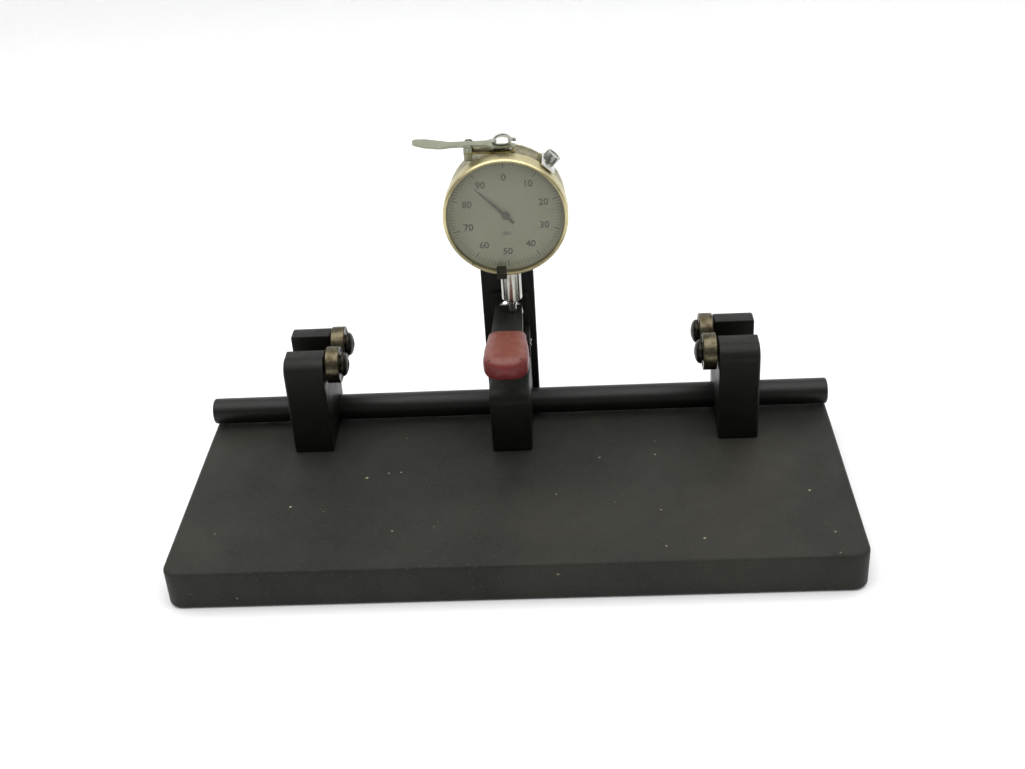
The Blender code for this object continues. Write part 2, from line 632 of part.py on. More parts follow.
def build_case():
    """Round case with holes for the stem and the top bushing, and a seat for the clamp."""
    depth = CASE_BACK - CASE_FRONT
    inner = CASE_RADIUS - CASE_WALL
    points = [(CASE_RADIUS, 0), (CASE_RADIUS, -depth), (inner, -depth), (inner, 0)]
    case = add_turned("dial_case", points, "brass", dial_place(CASE_FRONT), FORWARD, FINE, closed=True)
    seat_turn = (0, CLAMP_ANGLE, 0)
    seat = box_mesh((-4.0, 37.2, CASE_RADIUS - 1.2), (4.0, 46.5, CASE_RADIUS + 1.1))
    boolean(case, seat, "UNION", (DIAL_X, 0, DIAL_Z), seat_turn)
    centre = (DIAL_X, SHAFT_Y, DIAL_Z)
    drill(case, STEM_RADIUS + GAP, 20, 30, UP, centre)
    drill(case, STEM_RADIUS + GAP, -30, -20, UP, centre)
    drill(case, 1.7, 20, 30, seat_turn, (DIAL_X, CLAMP_SCREW_Y, DIAL_Z))
    shade(case)
    back = CASE_BACK + GAP
    plate = add_part("dial_back", rod_mesh(CASE_RADIUS - 0.2, -2.2, 0, FINE), "brass",
                     dial_place(back), FORWARD)
    corners = [(back + 1.6, -5.5, 0), (LUG_Y + 3.0, -5.5, 2.5)]
    corners += [(LUG_Y + 3.0, 5.5, 2.5), (back + 1.6, 5.5, 0)]
    lug = prism_mesh(rounded(corners), -2.5, 2.5, [circle(LUG_Y, 0, LUG_BOLT_RADIUS + GAP)])
    boolean(plate, lug, "UNION", (DIAL_X, 0, DIAL_Z), SIDE_VIEW)


def build_clamp():
    """Plate that presses on the bezel's rim, held by a knurled radial screw."""
    turn = (0, CLAMP_ANGLE, 0)
    half, low, high = 3.5, BEZEL_RADIUS + GAP, BEZEL_RADIUS + 1.6
    plate = add_part("clamp_plate", box_mesh((-half, 32.5, low), (half, 46.0, high)),
                     "bright_steel", (DIAL_X, 0, DIAL_Z), turn)
    round_edges(plate, 0.3, 2, 80)
    drill(plate, 1.7, 20, 40, turn, (DIAL_X, CLAMP_SCREW_Y, DIAL_Z))
    outward = Vector((math.sin(CLAMP_ANGLE), 0, math.cos(CLAMP_ANGLE)))
    place = Vector((DIAL_X, CLAMP_SCREW_Y, DIAL_Z)) + outward * (high + GAP)
    head, rise, shank = 3.4, 3.3, 1.4
    points = [(0, rise), (head - 0.4, rise), (head, rise - 0.4), (head, 0.3), (head - 0.3, 0)]
    points += [(shank, 0), (shank, -5.6), (0, -5.6)]
    screw = add_turned("clamp_thumb_screw", points, "steel", place, turn)
    slot = box_mesh((-0.45, -4, rise - 1), (0.45, 4, rise + 1))
    boolean(screw, slot, "DIFFERENCE", place, turn)


def build_stem_and_spindle():
    """Plain stem under the case, the spindle that slides through it, and its ends."""
    bore = SPINDLE_RADIUS + GAP
    stem_top = DIAL_Z - CASE_RADIUS + CASE_WALL
    edge = STEM_RADIUS - 0.5
    points = [(bore, stem_top), (STEM_RADIUS, stem_top), (STEM_RADIUS, STEM_BOTTOM + 0.5)]
    points += [(edge, STEM_BOTTOM), (bore, STEM_BOTTOM)]
    axis = (DIAL_X, SHAFT_Y, 0)
    add_turned("stem", points, "steel", axis, UP, 24, closed=True)
    low, high = DIAL_Z + CASE_RADIUS - CASE_WALL, DIAL_Z + CASE_RADIUS + 1.6
    points = [(bore, high), (4.3, high), (STEM_RADIUS, high - 0.4), (STEM_RADIUS, low), (bore, low)]
    add_turned("top_bushing", points, "brass", axis, UP, COARSE, closed=True)
    collar, collar_low = 3.9, 139.6
    tip_top = LEVER_TOP + GAP + 7.0
    points = [(0, SPINDLE_TOP - 0.6), (SPINDLE_RADIUS, SPINDLE_TOP - 0.6)]
    points += [(SPINDLE_RADIUS, collar_low + 1.2), (collar, collar_low + 1.2), (collar, collar_low)]
    points += [(SPINDLE_RADIUS, collar_low), (SPINDLE_RADIUS, tip_top + GAP), (0, tip_top + GAP)]
    add_turned("spindle", points, "steel", axis, UP)
    tip = 1.75
    points = [(0, tip_top), (tip + 0.4, tip_top), (tip + 0.4, tip_top - 2), (tip, tip_top - 2.6)]
    for step in range(5):
        angle = step * math.pi / 8
        points.append((tip * math.cos(angle), LEVER_TOP + GAP + tip * (1 - math.sin(angle))))
    add_turned("contact_point", points, "steel", axis, UP)
    cap = [(0, 3.0), (2.0, 2.9), (3.6, 2.1), (4.6, 0.9), (4.6, 0), (0, 0)]
    place = (DIAL_X, SHAFT_Y, SPINDLE_TOP - 0.3)
    add_turned("spindle_cap", cap, "steel", place, UP)


def build_return_spring():
    """Coil round the spindle, between its collar and the top bushing."""
    turns, points_a_turn, radius, wire = 6, 10, 3.3, 0.28
    low, high = 141.5, DIAL_Z + CASE_RADIUS - CASE_WALL - 0.8
    count = turns * points_a_turn + 1
    curve = bpy.data.curves.new("coil", "CURVE")
    curve.dimensions = "3D"
    curve.bevel_depth = wire * MM
    curve.bevel_resolution = 0
    curve.use_fill_caps = True
    spline = curve.splines.new("POLY")
    spline.points.add(count - 1)
    for index, point in enumerate(spline.points):
        angle = FULL_TURN * index / points_a_turn
        height = low + (high - low) * index / (count - 1)
        x, y = DIAL_X + radius * math.cos(angle), SHAFT_Y + radius * math.sin(angle)
        point.co = (x * MM, y * MM, height * MM, 1)
    spring = bpy.data.objects.new("return_spring", curve)
    spring.data.materials.append(add_material("return_spring", "steel"))
    PARTS.objects.link(spring)


def build_movement():
    """Movement plate, rack gear beside the spindle, and centre pinion with the pointer."""
    outline = circle(0, 0, CASE_RADIUS - CASE_WALL - 0.5, FINE)
    arbor_x, arbor_z = 5.9, -8.3
    holes = [circle(0, 0, 1.2, 16), circle(arbor_x, arbor_z, 1.2, 16)]
    add_part("movement_plate", prism_mesh(outline, -1.2, 0, holes), "brass", dial_place(35.2),
             FORWARD)
    place = dial_place(0)
    wheel = prism_mesh(gear_outline(24, 7.3, 8.0), -GEAR_BACK, -GEAR_FRONT)
    gear = add_part("rack_gear", wheel, "brass", (DIAL_X + arbor_x, 0, DIAL_Z + arbor_z), FORWARD)
    rack_pinion = prism_mesh(gear_outline(8, 2.6, 3.1), -44.0, -GEAR_BACK + 0.3)
    boolean(gear, rack_pinion, "UNION", (DIAL_X + arbor_x, 0, DIAL_Z + arbor_z), FORWARD)
    arbor = rod_mesh(0.8, -46.5, -34.0, 12)
    boolean(gear, arbor, "UNION", (DIAL_X + arbor_x, 0, DIAL_Z + arbor_z), FORWARD)
    pinion = prism_mesh(gear_outline(6, 1.2, 1.7), -GEAR_BACK, -GEAR_FRONT)
    centre = add_part("centre_pinion", pinion, "brass", place, FORWARD)
    boolean(centre, rod_mesh(0.8, -GEAR_FRONT - 0.2, -31.6, 12), "UNION", place, FORWARD)
    build_pointer()


def build_pointer():
    """Thin pointer with a round hub, at rest a little past the upper left of the dial."""
    reach, tail, rest_angle = 18.7, 5.0, math.radians(44.3)
    hub = [(x, y) for x, y in circle(0, 0, 2.1)]
    needle = [(-0.65, -tail), (0.65, -tail), (0.75, 0), (0.12, reach), (-0.12, reach), (-0.75, 0)]
    turn = (math.pi / 2, -rest_angle, 0)
    pointer = add_part("pointer", prism_mesh(hub, 0, 0.4), "pointer_black", dial_place(31.3), turn)
    boolean(pointer, prism_mesh(needle, 0.05, 0.35), "UNION", dial_place(31.3), turn)


def build_lifter():
    """Finger lever that rocks on a pin and lifts the spindle by its cap."""
    half, barrel = 2.75, 1.05
    low, high = -0.1, 0.9
    fork_end, slot = 21.2, SPINDLE_RADIUS + GAP
    fork_root = DIAL_X - FULCRUM_X - slot - 0.8
    corners = [(-24.7, -2.6, 2.4), (-19, -4.5, 3), (-12, -4.1, 2), (-8.5, -half, 1.5)]
    corners += [(8, -half, 1), (12, -5.5, 2), (fork_end, -5.0, 1.6), (fork_end, -slot, 0.4)]
    corners += [(fork_root, -slot, 0)]
    outline = rounded(corners + [(x, -y, radius) for x, y, radius in reversed(corners)])
    place = (FULCRUM_X, SHAFT_Y, FULCRUM_Z)
    plate = prism_mesh(outline, low, high)
    bend_up(plate, -9.0, 0.15)
    lever = add_part("lifting_lever", plate, "steel", place)
    boolean(lever, rod_mesh(barrel, -half, half, 16), "UNION", place, FORWARD)
    drill(lever, 0.75, -4, 4, FORWARD, place)
    add_part("lifter_pin", rod_mesh(0.5, -5.3, 5.3, 16), "steel", place, FORWARD)
    build_lifter_bracket()


def build_lifter_bracket():
    """Strip held round the top bushing, with two ears for the lifter's pin."""
    low, high = DIAL_Z + CASE_RADIUS + GAP, DIAL_Z + CASE_RADIUS + 1.1
    corners = [(FULCRUM_X - 1.5, -4.8, 0), (-3, -4.8, 1), (-1, -5.4, 1), (7, -5.4, 3)]
    outline = rounded(corners + [(x, -y, radius) for x, y, radius in reversed(corners)])
    strip = prism_mesh(outline, low, high, [circle(DIAL_X, 0, STEM_RADIUS + GAP)])
    bracket = add_part("lifter_bracket", strip, "brass", (0, SHAFT_Y, 0))
    ear_low, ear_high = DIAL_Z + 24.1, FULCRUM_Z + 1.2
    for sign in (-1, 1):
        front, back = sorted((sign * 3.8, sign * 4.8))
        ear = box_mesh((FULCRUM_X - 1.9, front, ear_low), (FULCRUM_X + 2.0, back, ear_high))
        boolean(bracket, ear, "UNION", (0, SHAFT_Y, 0))
    drill(bracket, 0.75, -6, 6, FORWARD, (FULCRUM_X, SHAFT_Y, FULCRUM_Z))


def build_dial_bracket():
    """Clevis on the post that holds the lug on the dial's back."""
    face, ear_in, ear_out = BLOCK_BACK, 2.9, 5.4
    outline = rectangle(-9, DIAL_Z - 9, 9, POST_TOP - 1, 1.5, 3)
    mesh = prism_mesh(outline, -face, -face + 2.6)
    bracket = add_part("dial_bracket", mesh, "satin_black", (DIAL_X, 0, 0), FORWARD)
    corners = [(LUG_Y - 4.6, DIAL_Z - 5.5, 3), (face - 1, DIAL_Z - 5.5, 0)]
    corners += [(face - 1, DIAL_Z + 5.5, 0), (LUG_Y - 4.6, DIAL_Z + 5.5, 3)]
    for sign in (-1, 1):
        low, high = sorted((sign * ear_in, sign * ear_out))
        ear = prism_mesh(rounded(corners), low, high)
        boolean(bracket, ear, "UNION", (DIAL_X, 0, 0), SIDE_VIEW)
    drill(bracket, LUG_BOLT_RADIUS + GAP, -12, 12, RIGHT, (DIAL_X, LUG_Y, DIAL_Z))
    drill(bracket, 2.3, -4, 1, BACKWARD, (DIAL_X, face, DIAL_SCREW_Z))
    place = (DIAL_X, POST_BACK + GAP, DIAL_SCREW_Z)
    button_screw("dial_bracket_screw", 4.5, 9.2, "black_oxide", place, BACKWARD, 2.0, 2.6, 1.5)
    place = (DIAL_X + ear_out + GAP, LUG_Y, DIAL_Z)
    button_screw("lug_bolt", 3.3, 13.0, "black_oxide", place, RIGHT, LUG_BOLT_RADIUS, 2.6, 1.4)


def main():
    build_base()
    build_rail()
    build_centre_block()
    build_block_screws()
    for side in END_BLOCK_X:
        build_end_block(side)
        build_rollers(side)
    build_post()
    build_lever_bracket()
    build_lever()
    build_grip()
    build_case()
    build_bezel()
    build_clamp()
    build_stem_and_spindle()
    build_return_spring()
    build_movement()
    build_lifter()
    build_dial_bracket()


main()
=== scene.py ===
"""Looks of the bench arrow-shaft straightener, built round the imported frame.

Everything is in metres, in the frame's own coordinates: X along the rail, Y from front to back,
Z up. Sizes and places come from the frame's nodes.
"""

import json
import math

import bmesh
import bpy
from mathutils import Matrix, Vector, noise


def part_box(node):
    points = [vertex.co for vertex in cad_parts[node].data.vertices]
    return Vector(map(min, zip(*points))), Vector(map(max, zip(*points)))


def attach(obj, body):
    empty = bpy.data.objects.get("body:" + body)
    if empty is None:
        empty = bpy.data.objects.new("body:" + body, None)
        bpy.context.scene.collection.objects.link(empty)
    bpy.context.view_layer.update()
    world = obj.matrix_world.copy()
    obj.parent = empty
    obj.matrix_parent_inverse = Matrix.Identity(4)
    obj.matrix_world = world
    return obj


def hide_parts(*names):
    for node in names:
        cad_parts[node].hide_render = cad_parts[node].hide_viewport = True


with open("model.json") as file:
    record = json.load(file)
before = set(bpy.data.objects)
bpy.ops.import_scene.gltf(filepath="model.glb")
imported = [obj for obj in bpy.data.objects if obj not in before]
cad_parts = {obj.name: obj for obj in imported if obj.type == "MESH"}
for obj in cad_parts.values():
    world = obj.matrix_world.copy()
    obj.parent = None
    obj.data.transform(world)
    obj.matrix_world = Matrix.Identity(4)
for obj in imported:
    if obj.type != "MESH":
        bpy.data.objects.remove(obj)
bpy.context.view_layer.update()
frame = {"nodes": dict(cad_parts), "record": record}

MM = 0.001
TURN = 2 * math.pi
QUARTER = math.pi / 2
UP = Matrix.Identity(3)
RIGHT = Matrix.Rotation(QUARTER, 3, "Y")
LEFT = Matrix.Rotation(-QUARTER, 3, "Y")
FORWARD = Matrix.Rotation(QUARTER, 3, "X")
BACKWARD = Matrix.Rotation(-QUARTER, 3, "X")
DOWN = Matrix.Rotation(math.pi, 3, "X")
SIDE_VIEW = Matrix(((0, 0, 1), (1, 0, 0), (0, 1, 0)))    # own X, Y, Z to Y, Z, X

BLOCK_CORNER = 7.3 * MM          # rounded top corners of the blocks
RAIL_BORE = 6.55 * MM
SCREW_BORE = 2.68 * MM           # holes for the roller screws, and the spindle's way
STEM_BORE = 5.06 * MM            # holes in the case for the stem and the top bushing
PIN_BORE = 0.75 * MM             # holes for the lifting lever's pin
CLAMP_BORE = 1.7 * MM
LEVER_THICKNESS = 6.35 * MM
LEVER_TURN_DOWN = 50.8 * MM      # Y of the back of the press lever's leg
THROUGH = 20 * MM                # half length of a tool that cuts right through

BODY_OF = {
    node: body
    for body, members in frame["record"]["behaviour"]["bodies"].items()
    for node in members
}


# ---------------------------------------------------------------- measuring the frame

def box(node):
    """Lowest and highest corner of a node."""
    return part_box(node)


def middle(node):
    low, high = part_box(node)
    return (low + high) / 2


def size(node):
    low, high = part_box(node)
    return high - low


# ---------------------------------------------------------------- materials

class Shading:
    """A material under construction: its node tree, and short ways to add nodes to it."""

    def __init__(self, name):
        self.material = bpy.data.materials.new(name)
        self.material.use_nodes = True
        self.tree = self.material.node_tree
        self.tree.nodes.clear()
        output = self.tree.nodes.new("ShaderNodeOutputMaterial")
        self.shader = self.tree.nodes.new("ShaderNodeBsdfPrincipled")
        self.tree.links.new(self.shader.outputs["BSDF"], output.inputs["Surface"])
        self.place = self.tree.nodes.new("ShaderNodeTexCoord").outputs["Object"]

    def link(self, source, target):
        self.tree.links.new(source, target)

    def noise(self, scale, detail=4.0, stretch=None, distortion=0.0):
        node = self.tree.nodes.new("ShaderNodeTexNoise")
        node.inputs["Scale"].default_value = scale
        node.inputs["Detail"].default_value = detail
        node.inputs["Distortion"].default_value = distortion
        self.link(self.stretched(stretch), node.inputs["Vector"])
        return node.outputs["Fac"]

    def stretched(self, stretch):
        if stretch is None:
            return self.place
        node = self.tree.nodes.new("ShaderNodeMapping")
        node.inputs["Scale"].default_value = stretch
        self.link(self.place, node.inputs["Vector"])
        return node.outputs["Vector"]

    def specks(self, scale, radius, share):
        """Mask of small round specks: one in a share of the cells of the given scale."""
        node = self.tree.nodes.new("ShaderNodeTexVoronoi")
        node.inputs["Scale"].default_value = scale
        self.link(self.place, node.inputs["Vector"])
        near = self.spread(node.outputs["Distance"], radius, radius * 0.6, 0, 1)
        split = self.tree.nodes.new("ShaderNodeSeparateColor")
        self.link(node.outputs["Color"], split.inputs["Color"])
        chosen = self.spread(split.outputs["Red"], 1 - share, 1 - share + 0.02, 0, 1)
        return self.maths("MULTIPLY", near, chosen)

    def maths(self, operation, first, second):
        node = self.tree.nodes.new("ShaderNodeMath")
        node.operation = operation
        for socket, value in zip(node.inputs, (first, second)):
            if isinstance(value, (int, float)):
                socket.default_value = value
            else:
                self.link(value, socket)
        return node.outputs["Value"]

    def spread(self, value, low, high, to_low, to_high):
        node = self.tree.nodes.new("ShaderNodeMapRange")
        numbers = (low, high, to_low, to_high)
        for socket, number in zip(list(node.inputs)[1:5], numbers):
            socket.default_value = number
        self.link(value, node.inputs["Value"])
        return node.outputs["Result"]

    def mix(self, share, first, second):
        node = self.tree.nodes.new("ShaderNodeMix")
        node.data_type = "RGBA"
        self.link(share, node.inputs["Factor"])
        for socket, colour in ((node.inputs[6], first), (node.inputs[7], second)):
            if isinstance(colour, tuple):
                socket.default_value = (*colour, 1)
            else:
                self.link(colour, socket)
        return node.outputs[2]

    def bump(self, height, distance, before=None):
        node = self.tree.nodes.new("ShaderNodeBump")
        node.inputs["Strength"].default_value = 1.0
        node.inputs["Distance"].default_value = distance
        self.link(height, node.inputs["Height"])
        if before is not None:
            self.link(before, node.inputs["Normal"])
        return node.outputs["Normal"]

    def edges(self, radius):
        """Mask of the outer and inner edges, from the normal of a rounded copy."""
        rounded_normal = self.tree.nodes.new("ShaderNodeBevel")
        rounded_normal.samples = 4
        rounded_normal.inputs["Radius"].default_value = radius
        flat = self.tree.nodes.new("ShaderNodeNewGeometry")
        dot = self.tree.nodes.new("ShaderNodeVectorMath")
        dot.operation = "DOT_PRODUCT"
        self.link(rounded_normal.outputs["Normal"], dot.inputs[0])
        self.link(flat.outputs["Normal"], dot.inputs[1])
        return self.spread(dot.outputs["Value"], 0.995, 0.86, 0, 1)

    def facing(self, axis):
        """How far the surface faces along a world axis, from -1 to 1."""
        split = self.tree.nodes.new("ShaderNodeSeparateXYZ")
        face = self.tree.nodes.new("ShaderNodeNewGeometry")
        self.link(face.outputs["Normal"], split.inputs["Vector"])
        return split.outputs[axis]

    def finish(self, colour, roughness, normal=None, metallic=0.0, specular=0.5):
        for name, value in (("Base Color", colour), ("Roughness", roughness)):
            self.link(value, self.shader.inputs[name])
        if normal is not None:
            self.link(normal, self.shader.inputs["Normal"])
        self.shader.inputs["Metallic"].default_value = metallic
        self.shader.inputs["Specular IOR Level"].default_value = specular
        return self.material


def base_paint():
    """Flat charcoal paint with smudges, dust and a few pale specks."""
    s = Shading("base_paint")
    tone = s.mix(s.noise(35), (0.0135, 0.0137, 0.0118), (0.0240, 0.0240, 0.0200))
    dust = s.spread(s.noise(14, 6), 0.46, 0.72, 0, 0.5)
    tone = s.mix(dust, tone, (0.044, 0.041, 0.031))
    grit = s.spread(s.noise(900, 2), 0.62, 0.72, 0, 0.55)
    tone = s.mix(grit, tone, (0.060, 0.056, 0.042))
    tone = s.mix(s.specks(60, 0.055, 0.22), tone, (0.46, 0.40, 0.25))
    tone = s.mix(s.specks(150, 0.085, 0.16), tone, (0.24, 0.20, 0.12))
    rough = s.spread(s.noise(60, 5), 0.3, 0.7, 0.46, 0.62)
    normal = s.bump(s.noise(1500, 3), 0.00005)
    normal = s.bump(s.noise(90, 3), 0.00012, normal)
    return s.finish(tone, rough, normal, specular=0.16)


def satin_black(name, gloss, grain=(1, 1, 1), specular=0.30):
    """Black paint on machined steel, brown and thin along its edges."""
    s = Shading(name)
    tone = s.mix(s.noise(120), (0.0038, 0.0039, 0.0030), (0.0082, 0.0080, 0.0062))
    worn = s.maths("MULTIPLY", s.edges(0.0007), s.spread(s.noise(420, 4), 0.42, 0.60, 0, 0.7))
    tone = s.mix(worn, tone, (0.060, 0.048, 0.032))
    tone = s.mix(s.specks(380, 0.10, 0.05), tone, (0.07, 0.058, 0.038))
    rough = s.spread(s.noise(200, 5, grain), 0.3, 0.7, gloss - 0.05, gloss + 0.12)
    normal = s.bump(s.noise(1100, 3, grain), 0.00003)
    normal = s.bump(s.noise(160, 3), 0.00007, normal)
    return s.finish(tone, rough, normal, specular=specular)


def metal(name, bright, dull, gloss, tarnish=0.3, grain=(1, 1, 1), side_face_shade=None):
    """Metal whose sheen is broken by fine marks, with a dull film in patches.

    The last argument is painted shade: a darker tone for the faces square to the X axis.
    """
    s = Shading(name)
    film = s.spread(s.noise(260, 6), 0.42, 0.68, 0, tarnish)
    tone = s.mix(film, bright, dull)
    tone = s.mix(s.specks(900, 0.16, 0.06), tone, tuple(0.35 * c for c in dull))
    # Painted shade: faces square to the X axis are turned darker.
    if side_face_shade is not None:
        sideways = s.maths("ABSOLUTE", s.facing("X"), 0)
        tone = s.mix(s.spread(sideways, 0.55, 0.80, 0, 1), tone, side_face_shade)
    rough = s.spread(s.noise(700, 5, grain), 0.3, 0.7, gloss, gloss + 0.14)
    normal = s.bump(s.noise(1800, 3, grain), 0.000012)
    return s.finish(tone, rough, normal, metallic=1.0)


def red_vinyl():
    """Dipped vinyl with a soft orange-peel surface, paler on top from dust and from painted light.
    """
    s = Shading("red_vinyl")
    tone = s.mix(s.noise(140, 5), (0.120, 0.015, 0.016), (0.170, 0.024, 0.024))
    painted_top_light = s.spread(s.facing("Z"), 0.35, 0.95, 0, 0.9)
    # Painted light with dust: the upward faces get a paler tone, patchy by noise.
    dust = s.maths("MULTIPLY", painted_top_light, s.spread(s.noise(300, 6), 0.30, 0.62, 0.45, 0.95))
    tone = s.mix(dust, tone, (0.205, 0.074, 0.052))
    rough = s.spread(s.noise(260, 5), 0.3, 0.7, 0.30, 0.46)
    normal = s.bump(s.noise(420, 3), 0.00008)
    normal = s.bump(s.noise(60, 2), 0.0004, normal)
    return s.finish(tone, rough, normal, specular=0.35)


def dial_paint():
    """Aged silvered face: warm grey with faint stains."""
    s = Shading("dial_paint")
    tone = s.mix(s.noise(70, 5), (0.300, 0.292, 0.200), (0.400, 0.405, 0.310))
    stain = s.spread(s.noise(320, 6), 0.52, 0.75, 0, 0.3)
    tone = s.mix(stain, tone, (0.22, 0.20, 0.13))
    rough = s.spread(s.noise(500, 4), 0.3, 0.7, 0.50, 0.66)
    return s.finish(tone, rough, s.bump(s.noise(2400, 2), 0.00001), specular=0.2)


def print_ink():
    s = Shading("print_ink")
    tone = s.mix(s.noise(900, 4), (0.020, 0.020, 0.016), (0.055, 0.054, 0.042))
    rough = s.spread(s.noise(600, 3), 0.3, 0.7, 0.45, 0.65)
    return s.finish(tone, rough, s.bump(s.noise(2500, 2), 0.00001))


def crystal_haze():
    """Scuffed clear crystal."""
    s = Shading("crystal_haze")
    tone = s.mix(s.noise(90, 5), (0.30, 0.30, 0.24), (0.42, 0.42, 0.35))
    rough = s.spread(s.noise(240, 5), 0.3, 0.7, 0.03, 0.07)
    material = s.finish(tone, rough, s.bump(s.noise(1200, 3), 0.000004))
    s.shader.inputs["Alpha"].default_value = 0.16
    s.shader.inputs["IOR"].default_value = 1.49
    material.surface_render_method = "BLENDED"
    return material


MATERIALS = {
    "base": base_paint(),
    "block": satin_black("block_black", 0.40, (1, 1, 1), 0.22),
    "rail": satin_black("rail_black", 0.36, (0.2, 6, 6)),
    "lever": satin_black("lever_black", 0.36, (1, 1, 1), 0.55),
    "oxide": metal("black_oxide", (0.020, 0.019, 0.016), (0.045, 0.036, 0.024), 0.30, 0.7),
    # The bearings' side faces get painted shade through the darker colour for faces square to X.
    "bearing": metal("bearing_steel", (0.120, 0.104, 0.066), (0.045, 0.034, 0.019), 0.24, 0.9,
                     side_face_shade=(0.022, 0.019, 0.013)),
    "steel": metal("steel", (0.46, 0.46, 0.42), (0.28, 0.26, 0.21), 0.10, 0.4),
    "bright": metal("bright_steel", (0.84, 0.84, 0.81), (0.60, 0.57, 0.50), 0.07, 0.2),
    "nickel": metal("nickel_sheet", (0.34, 0.35, 0.26), (0.22, 0.215, 0.15), 0.32, 0.4),
    "brass": metal("brass", (0.330, 0.290, 0.130), (0.120, 0.086, 0.034), 0.26, 0.9),
    "bezel": metal("bezel_brass", (0.60, 0.53, 0.30), (0.40, 0.34, 0.17), 0.26, 0.4),
    "grip": red_vinyl(),
    "dial": dial_paint(),
    "ink": print_ink(),
    "crystal": crystal_haze(),
}


# ---------------------------------------------------------------- outlines and meshes

def rounded(corners, steps=10):
    """Closed outline through corners (x, y, radius), each corner an arc of its radius."""
    points = []
    for index, (x, y, radius) in enumerate(corners):
        if radius == 0:
            points.append((x, y))
            continue
        corner = Vector((x, y))
        before = (Vector(corners[index - 1][:2]) - corner).normalized()
        after = (Vector(corners[(index + 1) % len(corners)][:2]) - corner).normalized()
        half = before.angle(after) / 2
        centre = corner + (before + after).normalized() * radius / math.sin(half)
        start = corner + before * radius / math.tan(half) - centre
        end = corner + after * radius / math.tan(half) - centre
        sweep = start.angle(end)
        for step in range(steps + 1):
            share = step / steps
            arm = start * math.sin((1 - share) * sweep) + end * math.sin(share * sweep)
            points.append(tuple(centre + arm / math.sin(sweep)))
    return points


def rectangle(x0, y0, x1, y1, radius=0.0):
    corners = ((x0, y0, radius), (x1, y0, radius), (x1, y1, radius), (x0, y1, radius))
    return rounded(corners)


def circle(x, y, radius, steps=48):
    angles = [TURN * step / steps for step in range(steps)]
    return [(x + radius * math.cos(a), y + radius * math.sin(a)) for a in angles]


def prism(outline, low, high, holes=()):
    """Mesh of a flat outline in the own XY plane, from own Z low to high, in metres."""
    curve = bpy.data.curves.new("outline", "CURVE")
    curve.dimensions = "2D"
    curve.fill_mode = "BOTH"
    curve.extrude = (high - low) / 2
    for loop in (outline, *holes):
        spline = curve.splines.new("POLY")
        spline.points.add(len(loop) - 1)
        spline.use_cyclic_u = True
        for point, (x, y) in zip(spline.points, loop):
            point.co = (x, y, 0, 1)
    holder = bpy.data.objects.new("outline", curve)
    bpy.context.scene.collection.objects.link(holder)
    mesh = bpy.data.meshes.new_from_object(
        holder.evaluated_get(bpy.context.evaluated_depsgraph_get()))
    bpy.data.objects.remove(holder, do_unlink=True)
    bm = bmesh.new()
    bm.from_mesh(mesh)
    bmesh.ops.remove_doubles(bm, verts=bm.verts, dist=1e-6)
    bmesh.ops.dissolve_limit(bm, angle_limit=0.001, verts=bm.verts, edges=bm.edges)
    bmesh.ops.recalc_face_normals(bm, faces=bm.faces)
    bmesh.ops.translate(bm, vec=(0, 0, (low + high) / 2), verts=bm.verts)
    bm.to_mesh(mesh)
    bm.free()
    return mesh


def turned(points, steps=64):
    """Mesh turned round the own Z axis from a profile of (radius, height) points.

    A profile that starts and ends on the axis makes a solid piece, and one that returns to
    its first point makes a ring.
    """
    bm = bmesh.new()
    ring = points[0] == points[-1]
    profile = points[:-1] if ring else points
    loops = []
    for radius, height in profile:
        if radius == 0:
            loops.append([bm.verts.new((0, 0, height))] * steps)
            continue
        angles = [TURN * step / steps for step in range(steps)]
        loops.append([bm.verts.new((radius * math.cos(a), radius * math.sin(a), height))
                      for a in angles])
    pairs = list(zip(loops, loops[1:]))
    if ring:
        pairs.append((loops[-1], loops[0]))
    for upper, lower in pairs:
        for step in range(steps):
            following = (step + 1) % steps
            corners = [upper[step], lower[step], lower[following], upper[following]]
            unique = list(dict.fromkeys(corners))
            if len(unique) > 2:
                bm.faces.new(unique)
    bmesh.ops.recalc_face_normals(bm, faces=bm.faces)
    mesh = bpy.data.meshes.new("turned")
    bm.to_mesh(mesh)
    bm.free()
    return mesh


def block(low, high):
    """Box between two opposite corners."""
    bm = bmesh.new()
    bmesh.ops.create_cube(bm, size=1)
    bmesh.ops.scale(bm, vec=[b - a for a, b in zip(low, high)], verts=bm.verts)
    bmesh.ops.translate(bm, vec=[(a + b) / 2 for a, b in zip(low, high)], verts=bm.verts)
    mesh = bpy.data.meshes.new("block")
    bm.to_mesh(mesh)
    bm.free()
    return mesh


def placed(mesh, turn=UP, place=(0, 0, 0)):
    """The mesh, turned and moved into the frame's own coordinates."""
    mesh.transform(Matrix.Translation(place) @ turn.to_4x4())
    return mesh


def piece(name, mesh, material, node=None, body=None, replace=True):
    """An object of the finished model. It rides on its node's body and stands for the node."""
    item = bpy.data.objects.new(name, mesh)
    bpy.context.scene.collection.objects.link(item)
    item.data.materials.append(MATERIALS[material])
    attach(item, body or BODY_OF[node])
    if node is not None:
        if replace:
            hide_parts(node)
    return item


def apply_modifiers(item):
    graph = bpy.context.evaluated_depsgraph_get()
    made = bpy.data.meshes.new_from_object(item.evaluated_get(graph))
    item.modifiers.clear()
    item.data = made


def cut(item, tool_mesh, operation="DIFFERENCE"):
    """Boolean of a piece with a mesh that is already in the frame's coordinates."""
    tool = bpy.data.objects.new("tool", tool_mesh)
    bpy.context.scene.collection.objects.link(tool)
    modifier = item.modifiers.new("cut", "BOOLEAN")
    modifier.operation = operation
    modifier.solver = "EXACT"
    modifier.object = tool
    apply_modifiers(item)
    bpy.data.objects.remove(tool, do_unlink=True)


